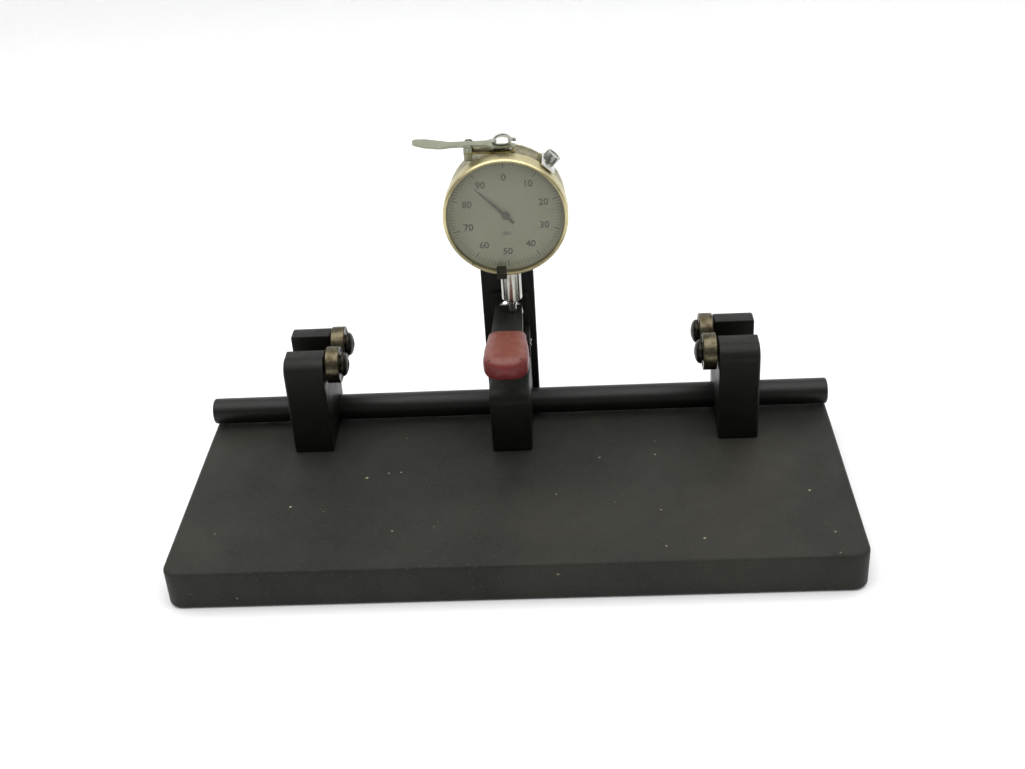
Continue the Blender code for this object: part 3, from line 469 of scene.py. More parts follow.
def soften(item, width, segments=3, angle=40):
    """Round the edges sharper than the angle, and shade the piece smooth."""
    modifier = item.modifiers.new("rounded", "BEVEL")
    modifier.width = width
    modifier.segments = segments
    modifier.limit_method = "ANGLE"
    modifier.angle_limit = math.radians(angle)
    apply_modifiers(item)
    shade(item)


def shade(item, angle=32):
    item.data.shade_smooth()
    item.data.set_sharp_from_angle(angle=math.radians(angle))


def rod(radius, low, high, steps=48):
    return turned([(0, high), (radius, high), (radius, low), (0, low)], steps)


# ---------------------------------------------------------------- base and rail

def make_base():
    low, high = box("base_plate")
    corner, edge = 7 * MM, 1.6 * MM
    outline = rectangle(low.x, low.y, high.x, high.y, corner)
    item = piece("base_plate_skin", prism(outline, low.z, high.z), "base", "base_plate")
    soften(item, edge, 5)
    seat, shank, overlap = 6.5 * MM, 2.7 * MM, 0.5 * MM
    for side in ("front", "back"):
        screw = middle(f"block_screw_{side}")
        place = (screw.x, screw.y, 0)
        head = size(f"block_screw_{side}").x / 2 + 0.4 * MM
        cut(item, placed(rod(head, -MM, seat), UP, place))
        cut(item, placed(rod(shank, seat - overlap, high.z + MM), UP, place))
    shade(item)


def rim(radius, height, edge, steps):
    """Profile of a rounded rim, from the end face to the outside."""
    arc = [QUARTER * step / steps for step in range(steps + 1)]
    return [(radius - edge + edge * math.sin(a), height - edge + edge * math.cos(a)) for a in arc]


def make_rail():
    """Round rail with softened ends and a centre dimple in each."""
    low, high = box("rail_rod")
    radius, half = (high.z - low.z) / 2, (high.x - low.x) / 2
    dimple_depth, dimple_radius = 1.2 * MM, 1.3 * MM
    dimple = [(0, half - dimple_depth), (dimple_radius, half)]
    top = dimple + rim(radius, half, 1.1 * MM, 6)
    points = top + [(r, -h) for r, h in reversed(top)]
    mesh = placed(turned(points, 96), RIGHT, middle("rail_rod"))
    shade(piece("rail_rod_skin", mesh, "rail", "rail_rod"))


def rail_bore(item, node):
    centre = middle("rail_rod")
    centre.x = middle(node).x
    reach = size(node).x
    cut(item, placed(rod(RAIL_BORE, -reach, reach, 80), RIGHT, centre))


def weigh_bevel(item, rule, width, segments=5, sharp=40):
    """Round the sharp edges by a share of width, which rule gives for an edge's middle."""
    bm = bmesh.new()
    bm.from_mesh(item.data)
    layer = bm.edges.layers.float.new("bevel_weight_edge")
    for edge in bm.edges:
        if len(edge.link_faces) != 2 or edge.calc_face_angle(0) < math.radians(sharp):
            continue
        first, second = (v.co for v in edge.verts)
        edge[layer] = rule((first + second) / 2)
    bm.to_mesh(item.data)
    bm.free()
    modifier = item.modifiers.new("rounded", "BEVEL")
    modifier.width = width
    modifier.segments = segments
    modifier.limit_method = "WEIGHT"
    apply_modifiers(item)
    shade(item)


def make_end_block(side):
    """Block with a notch. Its outer front edge is worn rounder than the others."""
    node = f"end_block_{side}"
    low, high = box(node)
    inner, outer = (high.x, low.x) if side == "left" else (low.x, high.x)
    shaft_y = (low.y + high.y) / 2
    notch_half, floor, notch_corner = 6.9 * MM, high.z - 13.5 * MM, 0.6 * MM
    corners = [(low.y, low.z, 0), (high.y, low.z, 0), (high.y, high.z, BLOCK_CORNER)]
    corners += [(shaft_y + notch_half, high.z, 0), (shaft_y + notch_half, floor, notch_corner)]
    corners += [(shaft_y - notch_half, floor, notch_corner), (shaft_y - notch_half, high.z, 0)]
    corners += [(low.y, high.z, BLOCK_CORNER)]
    mesh = placed(prism(rounded(corners), low.x, high.x), SIDE_VIEW)
    item = piece(f"{node}_skin", mesh, "block", node)

    def share(place):
        if abs(place.y - shaft_y) < notch_half + 0.1 * MM and place.z > floor - MM:
            return 0.12
        worn = abs(place.x - outer) < 0.01 * MM and place.y < shaft_y
        return 0.55 if worn else 0.28
    weigh_bevel(item, share, 2.6 * MM)
    rail_bore(item, node)
    depth = 12 * MM
    for row in ("front", "back"):
        centre = middle(f"roller_outer_ring_{side}_{row}")
        centre.x = inner
        cut(item, placed(rod(SCREW_BORE, -depth, depth), RIGHT, centre))
    clamp = middle(f"clamp_screw_{side}")
    clamp.y = high.y - MM
    cut(item, placed(rod(3.1 * MM, -6 * MM, 4 * MM), BACKWARD, clamp))
    shade(item)


def make_centre_block():
    low, high = box("centre_block")
    corners = [(low.y, low.z, 0), (high.y, low.z, 0), (high.y, high.z, 0)]
    corners += [(low.y, high.z, BLOCK_CORNER)]
    mesh = placed(prism(rounded(corners), low.x, high.x), SIDE_VIEW)
    item = piece("centre_block_skin", mesh, "block", "centre_block")
    weigh_bevel(item, lambda place: 0.45, 2.2 * MM)
    rail_bore(item, "centre_block")
    screw = middle("rail_set_screw")
    screw.z = middle("rail_rod").z
    cut(item, placed(rod(3.2 * MM, 0, 30 * MM), UP, screw))
    shade(item)


# ---------------------------------------------------------------- screws

def dome_points(head, rise, shank, length, lip=0.14):
    """Profile of a button head with its shank, heights measured from the seat.

    lip is the height of the head's straight rim, as a share of its rise.
    """
    points = [(0, rise)]
    steps = 10
    for step in range(1, steps + 1):
        angle = step / steps * math.pi / 2
        points.append((head * math.sin(angle), rise * (lip + (1 - lip) * math.cos(angle))))
    edge, chamfer = 0.12 * MM, 0.5 * MM
    points += [(head, edge), (head - edge, 0), (shank, 0), (shank, chamfer - length)]
    points += [(shank - chamfer, -length), (0, -length)]
    return points


def make_button_screw(node, turn, outward, rise, shank, socket):
    """Button-head screw with a hex socket. outward is +1 or -1 along the world axis it lies on."""
    low, high = box(node)
    axis = max(range(3), key=lambda k: high[k] - low[k])
    across = [k for k in range(3) if k != axis]
    head = max(high[k] - low[k] for k in across) / 2
    top = high[axis] if outward > 0 else low[axis]
    length = (high[axis] - low[axis]) - rise
    seat = (low + high) / 2
    seat[axis] = top - outward * rise
    mesh = placed(turned(dome_points(head, rise, shank, length)), turn, seat)
    item = piece(f"{node}_skin", mesh, "oxide", node)
    cut(item, placed(rod(socket, rise * 0.3, rise + MM, 6), turn, seat))
    shade(item, 38)


def make_screws():
    for side in ("left", "right"):
        turn, outward = (RIGHT, 1) if side == "left" else (LEFT, -1)
        for row in ("front", "back"):
            node = f"roller_screw_{side}_{row}"
            make_button_screw(node, turn, outward, 3.2 * MM, 2.38 * MM, 2.0 * MM)
    for node in ("post_screw_lower", "post_screw_upper", "dial_bracket_screw"):
        make_button_screw(node, BACKWARD, 1, 2.6 * MM, 2.0 * MM, 1.5 * MM)
    make_button_screw("lug_bolt", RIGHT, 1, 2.6 * MM, 2.2 * MM, 1.4 * MM)


# ---------------------------------------------------------------- ball bearings

def make_rollers():
    for side, turn in (("left", RIGHT), ("right", LEFT)):
        for row in ("front", "back"):
            make_outer_ring(f"{side}_{row}", turn)
            make_inner_ring(f"{side}_{row}", turn)


def make_outer_ring(name, turn):
    """Outer ring with a shield let into each side, and a channel inside for the balls."""
    node = f"roller_outer_ring_{name}"
    low, high = box(node)
    radius, half = (high.z - low.z) / 2, (high.x - low.x) / 2
    shield_bore, shield_radius, ring_bore = 4.75 * MM, 7.1 * MM, 7.3 * MM
    channel_radius, recess, sheet = 7.5 * MM, 0.35 * MM, 0.5 * MM
    outer = [(shield_bore, half - recess), (shield_radius, half - recess), (ring_bore, half)]
    outer += rim(radius, half, 0.45 * MM, 5)
    profile = outer + [(r, -h) for r, h in reversed(outer)]
    channel_end = recess + sheet - half
    channel = [(shield_bore, channel_end), (channel_radius, channel_end)]
    profile += channel + [(r, -h) for r, h in reversed(channel)] + [profile[0]]
    mesh = placed(turned(profile, 96), turn, middle(node))
    shade(piece(f"{node}_skin", mesh, "bearing", node))


def make_inner_ring(name, turn):
    node = f"roller_inner_ring_{name}"
    low, high = box(node)
    radius, half, edge = (high.z - low.z) / 2, (high.x - low.x) / 2, 0.25 * MM
    profile = [(SCREW_BORE, half), (radius - edge, half), (radius, half - edge)]
    profile += [(radius, edge - half), (radius - edge, -half), (SCREW_BORE, -half)]
    profile.append(profile[0])
    mesh = placed(turned(profile, 64), turn, middle(node))
    shade(piece(f"{node}_skin", mesh, "bearing", node))


# ---------------------------------------------------------------- post and press lever

def make_post():
    """Upright flat bar with holes for its screws."""
    low, high = box("post_bar")
    corner, edge, screw_hole, lever_screw_hole = 1.5 * MM, 0.7 * MM, 2.3 * MM, 2.7 * MM
    outline = rectangle(low.x, low.z, high.x, high.z, corner)
    mesh = placed(prism(outline, -high.y, -low.y), FORWARD)
    item = piece("post_bar_skin", mesh, "block", "post_bar")
    soften(item, edge, 4)
    holes = {
        "post_screw_lower": screw_hole,
        "post_screw_upper": screw_hole,
        "dial_bracket_screw": screw_hole,
        "bracket_screw": lever_screw_hole,
    }
    for node, radius in holes.items():
        centre = middle(node)
        centre.y = (low.y + high.y) / 2
        cut(item, placed(rod(radius, -THROUGH, THROUGH), FORWARD, centre))
    shade(item)


def make_lever():
    """Flat bar turned down behind the shaft line, with an eye on the pivot pin."""
    low, high = box("press_lever")
    pivot = middle("lever_pivot_pin")
    leg, eye, pin_radius, edge = 3.2 * MM, 4.6 * MM, 2.1 * MM, 0.7 * MM
    eye_corner, inside_corner, front_corner, back_corner = eye - 0.1 * MM, 0.8 * MM, MM, 1.5 * MM
    back = LEVER_TURN_DOWN
    under = high.z - LEVER_THICKNESS
    side = [(low.y, high.z, front_corner), (low.y, under, front_corner)]
    side += [(back - leg, under, inside_corner), (back - leg, pivot.z - eye, eye_corner)]
    side += [(pivot.y + eye, pivot.z - eye, eye_corner)]
    side += [(pivot.y + eye, pivot.z + eye, eye_corner)]
    side += [(back, pivot.z + eye, inside_corner), (back, high.z, back_corner)]
    pin_hole = circle(pivot.y, pivot.z, pin_radius)
    mesh = placed(prism(rounded(side), low.x, high.x, [pin_hole]), SIDE_VIEW)
    item = piece("press_lever_skin", mesh, "lever", "press_lever")
    bar, neck, taper_start = size("press_lever").x / 2, 6.3 * MM, 24 * MM
    wide = bar + MM
    x = middle("press_lever").x
    right = [(wide, low.y - MM), (wide, taper_start - MM), (bar, taper_start), (neck, back)]
    right.append((neck, high.y + MM))
    plan = [(x + across, y) for across, y in right]
    plan += [(x - across, y) for across, y in reversed(right)]
    cut(item, prism(plan, low.z - MM, high.z + MM), "INTERSECT")
    soften(item, edge, 4, 50)


def grip_radius(angle, half_width, half_height, power):
    """Reach of a rounded-box section in a direction."""
    across = abs(math.cos(angle) / half_width) ** power
    along = abs(math.sin(angle) / half_height) ** power
    return (across + along) ** (-1 / power)


def grip_ring(share, low, high):
    """Half width, half height and middle height of the grip, at a share of its way forward."""
    swollen_at, nose_start, wall = 0.55, 0.66, 0.15 * MM
    grown = math.sin(min(share / swollen_at, 1) * math.pi / 2) ** 1.5
    nose = max(0.0, (share - nose_start) / (1 - nose_start))
    close = math.sqrt(max(0.0, 1 - nose ** 2.5))
    flat = math.sqrt(max(0.0, 1 - nose ** 3.2))
    top = high.z - wall - 0.4 * MM * (1 - grown)
    bottom = low.z + wall + 2.7 * MM * (1 - grown)
    half_x = (high.x - low.x) / 2 * 0.985
    wide = max(half_x * (0.84 + 0.16 * grown) * close, 0.02 * MM)
    tall = max((top - bottom) / 2 * flat, 0.02 * MM)
    return wide, tall, (top + bottom) / 2


def make_grip():
    """Dipped sleeve: a swollen, slightly drooping tube closed over the lever's front end."""
    low, high = box("lever_grip")
    centre_x, length = (low.x + high.x) / 2, high.y - low.y
    rings, around, squareness = 48, 72, 3.6
    bm = bmesh.new()
    loops = []
    for ring in range(rings + 1):
        share = ring / rings
        y = high.y - share * length
        wide, tall, middle_z = grip_ring(share, low, high)
        loop = []
        for step in range(around):
            angle = TURN * step / around
            reach = grip_radius(angle, wide, tall, squareness)
            x, z = reach * math.cos(angle), reach * math.sin(angle)
            wobble = noise.noise(Vector((x, y, z)) * 150) * 0.12 * MM
            scale = 1 + wobble * min(1, reach / (2 * MM)) / max(reach, 0.01 * MM)
            loop.append(bm.verts.new((centre_x + x * scale, y, middle_z + z * scale)))
        loops.append(loop)
    for first, second in zip(loops, loops[1:]):
        for step in range(around):
            following = (step + 1) % around
            bm.faces.new((first[step], second[step], second[following], first[following]))
    bm.faces.new(list(reversed(loops[-1])))
    bm.faces.new(loops[0])
    bmesh.ops.recalc_face_normals(bm, faces=bm.faces)
    mesh = bpy.data.meshes.new("grip")
    bm.to_mesh(mesh)
    bm.free()
    item = piece("lever_grip_skin", mesh, "grip", "lever_grip")
    bar_low, bar_high = box("press_lever")
    clear = 0.2 * MM
    inside = block(
        (bar_low.x - clear, bar_low.y - clear, bar_high.z - LEVER_THICKNESS - clear),
        (bar_high.x + clear, high.y + MM, bar_high.z + clear))
    cut(item, inside)
    shade(item, 50)


def make_bracket_screw():
    """Polished round head with a slot."""
    low, high = box("bracket_screw")
    rise, shank = 3.6 * MM, 2.4 * MM
    slot_half, slot_depth, slot_reach = 0.7 * MM, 1.2 * MM, 8 * MM
    length = high.y - low.y - rise
    head = (high.z - low.z) / 2
    seat = middle("bracket_screw")
    seat.y = low.y + rise
    mesh = placed(turned(dome_points(head, rise, shank, length, 0.0), 80), FORWARD, seat)
    item = piece("bracket_screw_skin", mesh, "bright", "bracket_screw")
    slot = block((-slot_half, -slot_reach, rise - slot_depth), (slot_half, slot_reach, rise + MM))
    cut(item, placed(slot, FORWARD, seat))
    shade(item, 38)


# ---------------------------------------------------------------- dial indicator

def dial_axis(y):
    centre = middle("bezel")
    return Vector((centre.x, y, centre.z))


def make_bezel():
    """Ring with a rounded lip round the window and a skirt over the case."""
    low, high = box("bezel")
    radius, depth = (high.x - low.x) / 2, high.y - low.y
    window, skirt = radius - 1.7 * MM, radius - 0.7 * MM
    lip_depth, curve, bulge, back_edge, back_run = MM, 1.2 * MM, 1.6, 0.3 * MM, 0.4 * MM
    lip = [(window, -0.6 * MM), (window + 0.15 * MM, -0.2 * MM), (window + 0.45 * MM, 0)]
    steps = 8
    for step in range(steps + 1):
        angle = QUARTER * step / steps
        out = radius - curve + curve * math.sin(angle)
        lip.append((out, bulge * curve * (math.cos(angle) - 1)))
    back = [(radius, back_run - depth), (radius - back_edge, -depth), (skirt, -depth)]
    inside = [(skirt, -lip_depth), (window, -lip_depth)]
    profile = lip + back + inside + [lip[0]]
    mesh = placed(turned(profile, 160), FORWARD, dial_axis(low.y))
    shade(piece("bezel_skin", mesh, "bezel", "bezel"))


def make_case():
    """Turned case with rounded rims, and the seat of the bezel clamp."""
    low, high = box("dial_case")
    depth = high.y - low.y
    radius = size("bezel").x / 2 - MM
    inner, edge, back_slope = radius - 2.2 * MM, 0.3 * MM, 0.9 * MM
    points = [(inner, 0), (radius - edge, 0), (radius, -edge), (radius, 0.8 * MM - depth)]
    points += [(radius - edge, 0.25 * MM - depth), (radius - back_slope, -depth)]
    points += [(inner, -depth), (inner, 0)]
    mesh = placed(turned(points, 160), FORWARD, dial_axis(low.y))
    item = piece("dial_case_skin", mesh, "brass", "dial_case")
    tilt = Matrix.Rotation(clamp_angle(), 3, "Y")
    seat_half, seat_front, seat_back = 4 * MM, 37.2 * MM, 46.5 * MM
    seat = block((-seat_half, seat_front, radius - 1.2 * MM),
                 (seat_half, seat_back, radius + 1.1 * MM))
    cut(item, placed(seat, tilt, dial_axis(0)), "UNION")
    wall_low, wall_high = 20 * MM, 30 * MM
    spindle = middle("spindle")
    spindle.z = dial_axis(0).z
    for turn in (UP, DOWN):
        cut(item, placed(rod(STEM_BORE, wall_low, wall_high), turn, spindle))
    screw_place = dial_axis(middle("clamp_thumb_screw").y)
    cut(item, placed(rod(CLAMP_BORE, wall_low, wall_high), tilt, screw_place))
    shade(item)


def clamp_angle():
    """Lean of the bezel clamp from upright, clockwise from the front."""
    offset = middle("clamp_thumb_screw") - dial_axis(0)
    return math.atan2(offset.x, offset.z)


def make_crystal():
    """Low dome of clear plastic."""
    low, high = box("crystal")
    radius = (high.x - low.x) / 2
    rise, thick = 0.5 * MM, 0.7 * MM
    steps = 12
    top = [(radius * k / steps, -rise * (k / steps) ** 2) for k in range(steps + 1)]
    bottom = [(r, h - thick) for r, h in reversed(top)]
    mesh = placed(turned(top + bottom, 96), FORWARD, dial_axis(low.y))
    shade(piece("crystal_skin", mesh, "crystal", "crystal"), 50)


def text_mesh(words, height, thick, weight):
    """Raised lettering, centred on the origin. weight thickens its strokes."""
    curve = bpy.data.curves.new("text", "FONT")
    curve.body = words
    curve.size = height
    curve.align_x = "CENTER"
    curve.align_y = "CENTER"
    curve.extrude = thick / 2
    curve.offset = weight
    curve.resolution_u = 4
    holder = bpy.data.objects.new("text", curve)
    bpy.context.scene.collection.objects.link(holder)
    graph = bpy.context.evaluated_depsgraph_get()
    mesh = bpy.data.meshes.new_from_object(holder.evaluated_get(graph))
    bpy.data.objects.remove(holder, do_unlink=True)
    return mesh


def make_dial_face():
    """Plate of the dial, with a hole for the pinion."""
    low, high = box("dial_face")
    radius = (high.x - low.x) / 2
    outline, hole = circle(0, 0, radius, 96), circle(0, 0, 1.3 * MM, 24)
    plate = placed(prism(outline, low.y - high.y, 0, [hole]), FORWARD, dial_axis(low.y))
    shade(piece("dial_face_skin", plate, "dial", "dial_face"), 30)
    make_dial_marks(radius, low.y)


def make_dial_marks(radius, front):
    """A hundred graduations, a number at every tenth, and the value of one graduation."""
    marks = bmesh.new()
    divisions, thick, outer = 100, 0.04 * MM, radius - 1.9 * MM
    for index in range(divisions):
        length = 2.9 if index % 10 == 0 else 2.2 if index % 5 == 0 else 1.6
        half = 0.20 * MM if index % 10 == 0 else 0.12 * MM
        tick = block((-half, outer - length * MM, 0), (half, outer, thick))
        tick.transform(Matrix.Rotation(-TURN * index / divisions, 4, "Z"))
        marks.from_mesh(tick)
    numbers, number_radius, number_height = 10, 17.9 * MM, 4.4 * MM
    for index in range(numbers):
        angle = TURN * index / numbers
        number = text_mesh(str(10 * index), number_height, thick, 0.09 * MM)
        where = (number_radius * math.sin(angle), number_radius * math.cos(angle), thick / 2)
        number.transform(Matrix.Translation(where))
        marks.from_mesh(number)
    value = text_mesh(".001", 2.6 * MM, thick, 0.03 * MM)
    value.transform(Matrix.Translation((0, -9 * MM, thick / 2)))
    marks.from_mesh(value)
    mesh = bpy.data.meshes.new("dial_marks")
    marks.to_mesh(mesh)
    marks.free()
    piece("dial_marks", placed(mesh, FORWARD, dial_axis(front)), "ink", "dial_face", replace=False)


def make_pointer():
    """Tapered hand with a tail and a domed hub."""
    low, high = box("pointer")
    centre = middle("centre_pinion")
    tip = Vector((low.x, 0, high.z)) - Vector((centre.x, 0, centre.z))
    angle = math.atan2(-tip.x, tip.z)
    tail, reach = -5 * MM, 18.7 * MM
    right = [(0.60 * MM, tail), (0.42 * MM, 0), (0.75 * MM, 3 * MM), (0.12 * MM, reach)]
    needle = right + [(-across, along) for across, along in reversed(right)]
    turn = Matrix.Rotation(-angle, 3, "Y") @ FORWARD
    place = Vector((centre.x, high.y, centre.z))
    mesh = placed(prism(needle, 0.05 * MM, 0.3 * MM), turn, place)
    item = piece("pointer_skin", mesh, "ink", "pointer")
    hub = [(0, 0.55 * MM), (0.9 * MM, 0.5 * MM), (1.7 * MM, 0.35 * MM), (1.9 * MM, 0), (0, 0)]
    cut(item, placed(turned(hub, 32), turn, place), "UNION")
    shade(item, 40)


def make_stem():
    low, high = box("stem")
    radius, edge, bore_edge = (high.x - low.x) / 2, 0.6 * MM, 0.3 * MM
    place = middle("stem")
    place.z = 0
    profile = [(SCREW_BORE, high.z), (radius, high.z), (radius, low.z + edge)]
    profile += [(radius - edge, low.z), (SCREW_BORE + bore_edge, low.z)]
    profile += [(SCREW_BORE, low.z + bore_edge), (SCREW_BORE, high.z)]
    shade(piece("stem_skin", placed(turned(profile, 72), UP, place), "steel", "stem"))


def make_contact_point():
    """Short rod with a neck and a ball end."""
    low, high = box("contact_point")
    place = middle("stem")
    place.z = 0
    wide, tip, steps = 2.15 * MM, 1.75 * MM, 8
    points = [(0, high.z), (wide, high.z), (wide, high.z - 2 * MM), (tip, high.z - 2.6 * MM)]
    arc = [QUARTER * step / steps for step in range(steps)]
    points += [(tip * math.cos(a), low.z + tip * (1 - math.sin(a))) for a in arc]
    points += [(0, low.z)]
    mesh = placed(turned(points, 48), UP, place)
    shade(piece("contact_point_skin", mesh, "steel", "contact_point"))


def make_spindle_cap():
    """Domed cap screw with a slot, on top of the spindle."""
    low, high = box("spindle_cap")
    radius, rise = (high.x - low.x) / 2, high.z - low.z
    points = [(0, rise), (1.6 * MM, rise - 0.05 * MM), (2.6 * MM, rise - 0.3 * MM)]
    points += [(3.5 * MM, rise - 0.9 * MM), (4.2 * MM, rise - 1.8 * MM), (radius, rise - 2.3 * MM)]
    points += [(radius, 0.2 * MM), (radius - 0.2 * MM, 0), (0, 0)]
    base = middle("spindle_cap")
    base.z = low.z
    mesh = placed(turned(points, 48), UP, base)
    item = piece("spindle_cap_skin", mesh, "steel", "spindle_cap")
    slot_half, slot_depth, slot_turn = 0.4 * MM, 0.9 * MM, 0.5
    slot = block((-5 * MM, -slot_half, rise - slot_depth), (5 * MM, slot_half, rise + MM))
    cut(item, placed(slot, Matrix.Rotation(slot_turn, 3, "Z"), base))
    shade(item)


def bend_up(mesh, start, slope, length=6 * MM, facets=6):
    """Bend a flat sheet up on the left of own X start, over a length, to its full slope."""
    facet = length / facets
    bm = bmesh.new()
    bm.from_mesh(mesh)
    for index in range(facets):
        everything = bm.verts[:] + bm.edges[:] + bm.faces[:]
        line = (start - index * facet, 0, 0)
        bmesh.ops.bisect_plane(bm, geom=everything, plane_co=line, plane_no=(1, 0, 0))
    for vertex in bm.verts:
        run = max(0, start - vertex.co.x)
        steps = (min(max(run - k * facet, 0), facet) * (k + 1) / facets for k in range(facets))
        vertex.co.z += slope * (sum(steps) + max(run - length, 0))
    bmesh.ops.remove_doubles(bm, verts=bm.verts, dist=0.001 * MM)
    bmesh.ops.recalc_face_normals(bm, faces=bm.faces)
    bm.to_mesh(mesh)
    bm.free()


def make_lifting_lever():
    """Pressed sheet lever: finger pad bent up, straight neck, and a fork under the cap."""
    pivot = middle("lifter_pin")
    arm = middle("spindle").x - pivot.x
    end = box("lifting_lever")[1].x - pivot.x - 0.05 * MM
    root = arm - SCREW_BORE - 0.8 * MM
    under, over, neck, barrel = -0.08 * MM, 0.88 * MM, 2.7 * MM, MM
    pad = [(-24.6, -2.6, 2.4), (-19, -4.45, 3), (-12, -4.05, 2)]
    corners = [(x * MM, y * MM, r * MM) for x, y, r in pad]
    corners += [(-8.5 * MM, -neck, 1.5 * MM), (8 * MM, -neck, MM), (12 * MM, -5.4 * MM, 2 * MM)]
    corners += [(end, -4.9 * MM, 1.7 * MM), (end, -SCREW_BORE, 0.3 * MM)]
    corners += [(root, -SCREW_BORE, 1.2 * MM)]
    outline = rounded(corners + [(x, -y, r) for x, y, r in reversed(corners)], 8)
    plate = prism(outline, under, over)
    bend_up(plate, -9 * MM, 0.15)
    item = piece("lifting_lever_skin", placed(plate, UP, pivot), "nickel", "lifting_lever")
    cut(item, placed(rod(barrel, -neck, neck), FORWARD, pivot), "UNION")
    cut(item, placed(rod(PIN_BORE, -THROUGH, THROUGH), FORWARD, pivot))
    shade(item)


def make_lifter_bracket():
    """Strip round the top bushing, and the two plated ears that hold the lifter's pin."""
    low, high = box("lifter_bracket")
    pin, spindle = middle("lifter_pin"), middle("spindle")
    top, sheet, edge = box("top_bushing")[1].z - 0.5 * MM, 0.8 * MM, 0.15 * MM
    narrow, wide = 4.8 * MM, 5.4 * MM
    corners = [(low.x, -narrow, 0), (-3 * MM, -narrow, MM), (-1 * MM, -wide, MM)]
    corners.append((high.x, -wide, 3 * MM))
    outline = rounded(corners + [(x, -y, r) for x, y, r in reversed(corners)])
    hole = circle(spindle.x, 0, STEM_BORE)
    strip = placed(prism(outline, top - sheet, top, [hole]), UP, (0, spindle.y, 0))
    soften(piece("lifter_strip", strip, "brass", "lifter_bracket"), edge, 2)
    half, inside, outside = 1.9 * MM, 3.8 * MM, 4.8 * MM
    foot, head, ear_edge = 0.3 * MM, 1.4 * MM, 0.12 * MM
    corners = [(-half, low.z, foot), (half, low.z, foot), (half, high.z, head)]
    corners.append((-half, high.z, head))
    for name, side in (("front", -1), ("back", 1)):
        near, far = sorted((spindle.y + side * inside, spindle.y + side * outside))
        ear = placed(prism(rounded(corners), -far, -near), FORWARD, (pin.x, 0, 0))
        item = piece(f"lifter_ear_{name}", ear, "nickel", "lifter_bracket")
        cut(item, placed(rod(PIN_BORE, -THROUGH, THROUGH), FORWARD, pin))
        soften(item, ear_edge, 2)


def make_clamp():
    """Plate over the rim and the knurled screw that tightens it."""
    tilt = Matrix.Rotation(clamp_angle(), 3, "Y")
    axis = dial_axis(middle("clamp_thumb_screw").y)
    low, high = box("clamp_plate")
    inner = size("bezel").x / 2 + 0.3 * MM
    outer, half = inner + 1.3 * MM, 3.5 * MM
    plate = placed(block((-half, low.y, inner), (half, high.y, outer)), tilt, dial_axis(0))
    item = piece("clamp_plate_skin", plate, "bright", "clamp_plate")
    soften(item, 0.35 * MM, 3)
    cut(item, placed(rod(CLAMP_BORE, 20 * MM, 40 * MM), tilt, axis))
    shade(item)
    make_thumb_screw(tilt, axis + tilt @ Vector((0, 0, outer + 0.3 * MM)))


def make_thumb_screw(tilt, seat):
    """Knurled head, dished on top, on a plain shank."""
    rise, head, shank, length = 3.3 * MM, 3.4 * MM, 1.4 * MM, 5.6 * MM
    ridges, ridge_depth = 28, 0.22 * MM
    outline = []
    for index in range(ridges * 4):
        radius = head if index % 4 in (1, 2) else head - ridge_depth
        angle = TURN * index / (ridges * 4)
        outline.append((radius * math.cos(angle), radius * math.sin(angle)))
    mesh = placed(prism(outline, 0, rise), tilt, seat)
    item = piece("clamp_thumb_screw_skin", mesh, "steel", "clamp_thumb_screw")
    soften(item, 0.12 * MM, 1, 60)
    cut(item, placed(rod(shank, -length, 0.5 * MM), tilt, seat), "UNION")
    dish = [(0, rise + MM), (2.4 * MM, rise + MM), (2.2 * MM, rise - 0.3 * MM)]
    dish.append((0, rise - 0.45 * MM))
    cut(item, placed(turned(dish, 40), tilt, seat))
    shade(item)


def make_carried_over():
    """CAD nodes whose shape stays: they only get their material."""
    names = {
        "block": ("lever_bracket", "dial_bracket"),
        "oxide": ("block_screw_front", "block_screw_back", "rail_set_screw", "clamp_screw_left",
                  "clamp_screw_right", "limit_clip"),
        "steel": ("bracket_nut", "lever_pivot_pin", "spindle", "lifter_pin", "return_spring",
                  "top_bushing"),
        "brass": ("dial_back", "movement_plate", "rack_gear", "centre_pinion"),
        "bearing": tuple(n for n in frame["nodes"] if n.startswith("ball_cage")),
    }
    for material, nodes in names.items():
        for node in nodes:
            item = frame["nodes"][node]
            item.data.materials.clear()
            item.data.materials.append(MATERIALS[material])


# ---------------------------------------------------------------- stage, light and camera

def floor_paper():
    s = Shading("floor_paper")
    tone = s.mix(s.noise(6, 4), (0.90, 0.90, 0.895), (0.94, 0.94, 0.935))
    rough = s.spread(s.noise(40, 3), 0.3, 0.7, 0.80, 0.92)
    return s.finish(tone, rough, s.bump(s.noise(300, 3), 0.0001), specular=0.2)


def make_stage():
    """Paper floor that sweeps up into a wall behind the object, in metres."""
    near, half, bend_start, bend, top, steps = -1.6, 2.4, 0.44, 0.10, 1.5, 12
    sweep = [(near, 0.0), (bend_start, 0.0)]
    for step in range(1, steps + 1):
        angle = step / steps * math.pi / 2
        sweep.append((bend_start + bend * math.sin(angle), bend * (1 - math.cos(angle))))
    sweep.append((bend_start + bend, top))
    bm = bmesh.new()
    rows = [[bm.verts.new((x, y, z)) for x in (-half, half)] for y, z in sweep]
    for first, second in zip(rows, rows[1:]):
        bm.faces.new((first[0], first[1], second[1], second[0]))
    mesh = bpy.data.meshes.new("floor")
    bm.to_mesh(mesh)
    bm.free()
    floor = bpy.data.objects.new("floor", mesh)
    floor.location.z = -0.3 * MM
    bpy.context.scene.collection.objects.link(floor)
    floor.data.materials.append(floor_paper())
    floor.data.shade_smooth()


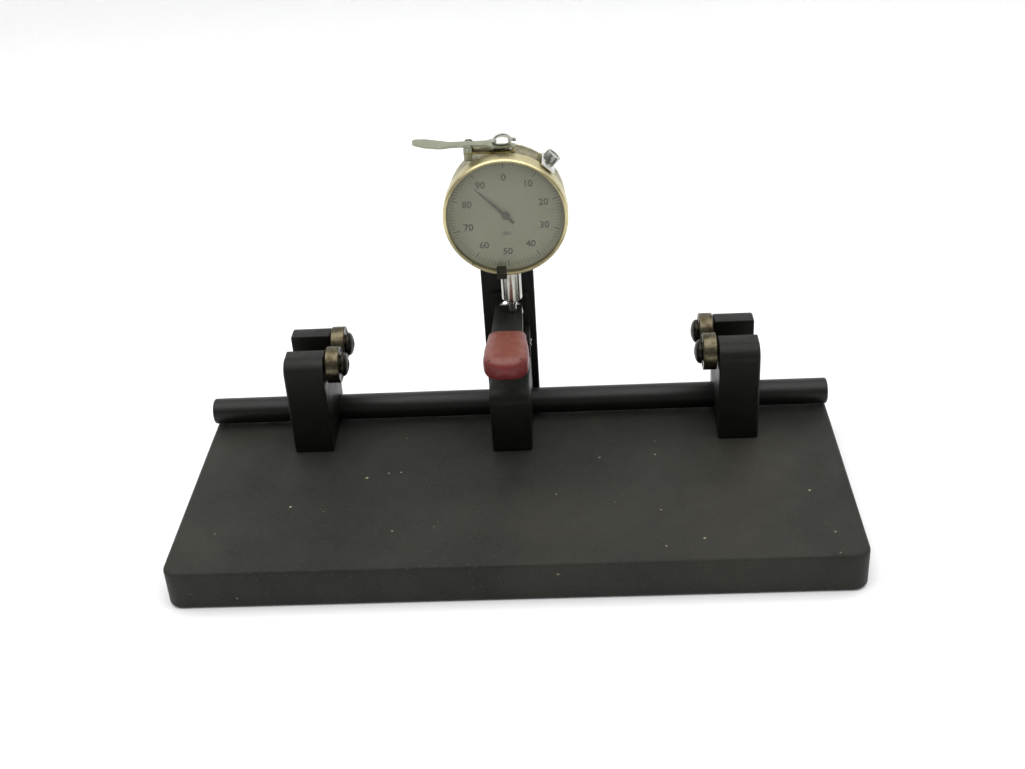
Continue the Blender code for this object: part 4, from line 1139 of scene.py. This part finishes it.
def add_light(name, place, target, extent, power):
    data = bpy.data.lights.new(name, "AREA")
    data.shape = "RECTANGLE"
    data.size, data.size_y = extent
    data.energy = power
    item = bpy.data.objects.new(name, data)
    item.location = place
    item.rotation_euler = (Vector(target) - Vector(place)).to_track_quat("-Z", "Y").to_euler()
    bpy.context.scene.collection.objects.link(item)


def make_lights():
    """One large soft light above the object, and a dim room round it."""
    world = bpy.data.worlds.new("studio")
    world.use_nodes = True
    background = world.node_tree.nodes["Background"]
    background.inputs["Color"].default_value = (0.95, 0.98, 1.0, 1)
    background.inputs["Strength"].default_value = 0.28
    bpy.context.scene.world = world
    add_light("overhead", (0.0, 0.10, 1.45), (0, 0.05, 0), (3.0, 2.2), 52)


def make_camera():
    """Plain perspective camera. Its turn is given by yaw, downward pitch and roll."""
    place = (0.0333, -0.5308, 0.3848)
    yaw, pitch, roll = (math.radians(degrees) for degrees in (-3.459, 30.88, -3.784))
    look = Vector((math.sin(yaw) * math.cos(pitch), math.cos(yaw) * math.cos(pitch),
                   -math.sin(pitch)))
    level = Vector((math.cos(yaw), -math.sin(yaw), 0))
    upright = level.cross(look)
    right = math.cos(roll) * level + math.sin(roll) * upright
    up = -math.sin(roll) * level + math.cos(roll) * upright
    data = bpy.data.cameras.new("camera")
    data.lens = 48.23
    data.sensor_width = 36.0
    data.clip_start, data.clip_end = 0.01, 20
    item = bpy.data.objects.new("camera", data)
    axes = Matrix((right, up, -look)).transposed().to_4x4()
    item.matrix_world = Matrix.Translation(place) @ axes
    bpy.context.scene.collection.objects.link(item)
    bpy.context.scene.camera = item


def main():
    make_camera()
    make_stage()
    make_lights()
    make_base()
    make_rail()
    for side in ("left", "right"):
        make_end_block(side)
    make_centre_block()
    make_screws()
    make_rollers()
    make_post()
    make_lever()
    make_grip()
    make_bracket_screw()
    make_bezel()
    make_case()
    make_crystal()
    make_dial_face()
    make_pointer()
    make_stem()
    make_contact_point()
    make_spindle_cap()
    make_lifting_lever()
    make_lifter_bracket()
    make_clamp()
    make_carried_over()


main()
bpy.context.scene.view_settings.view_transform = "Standard"
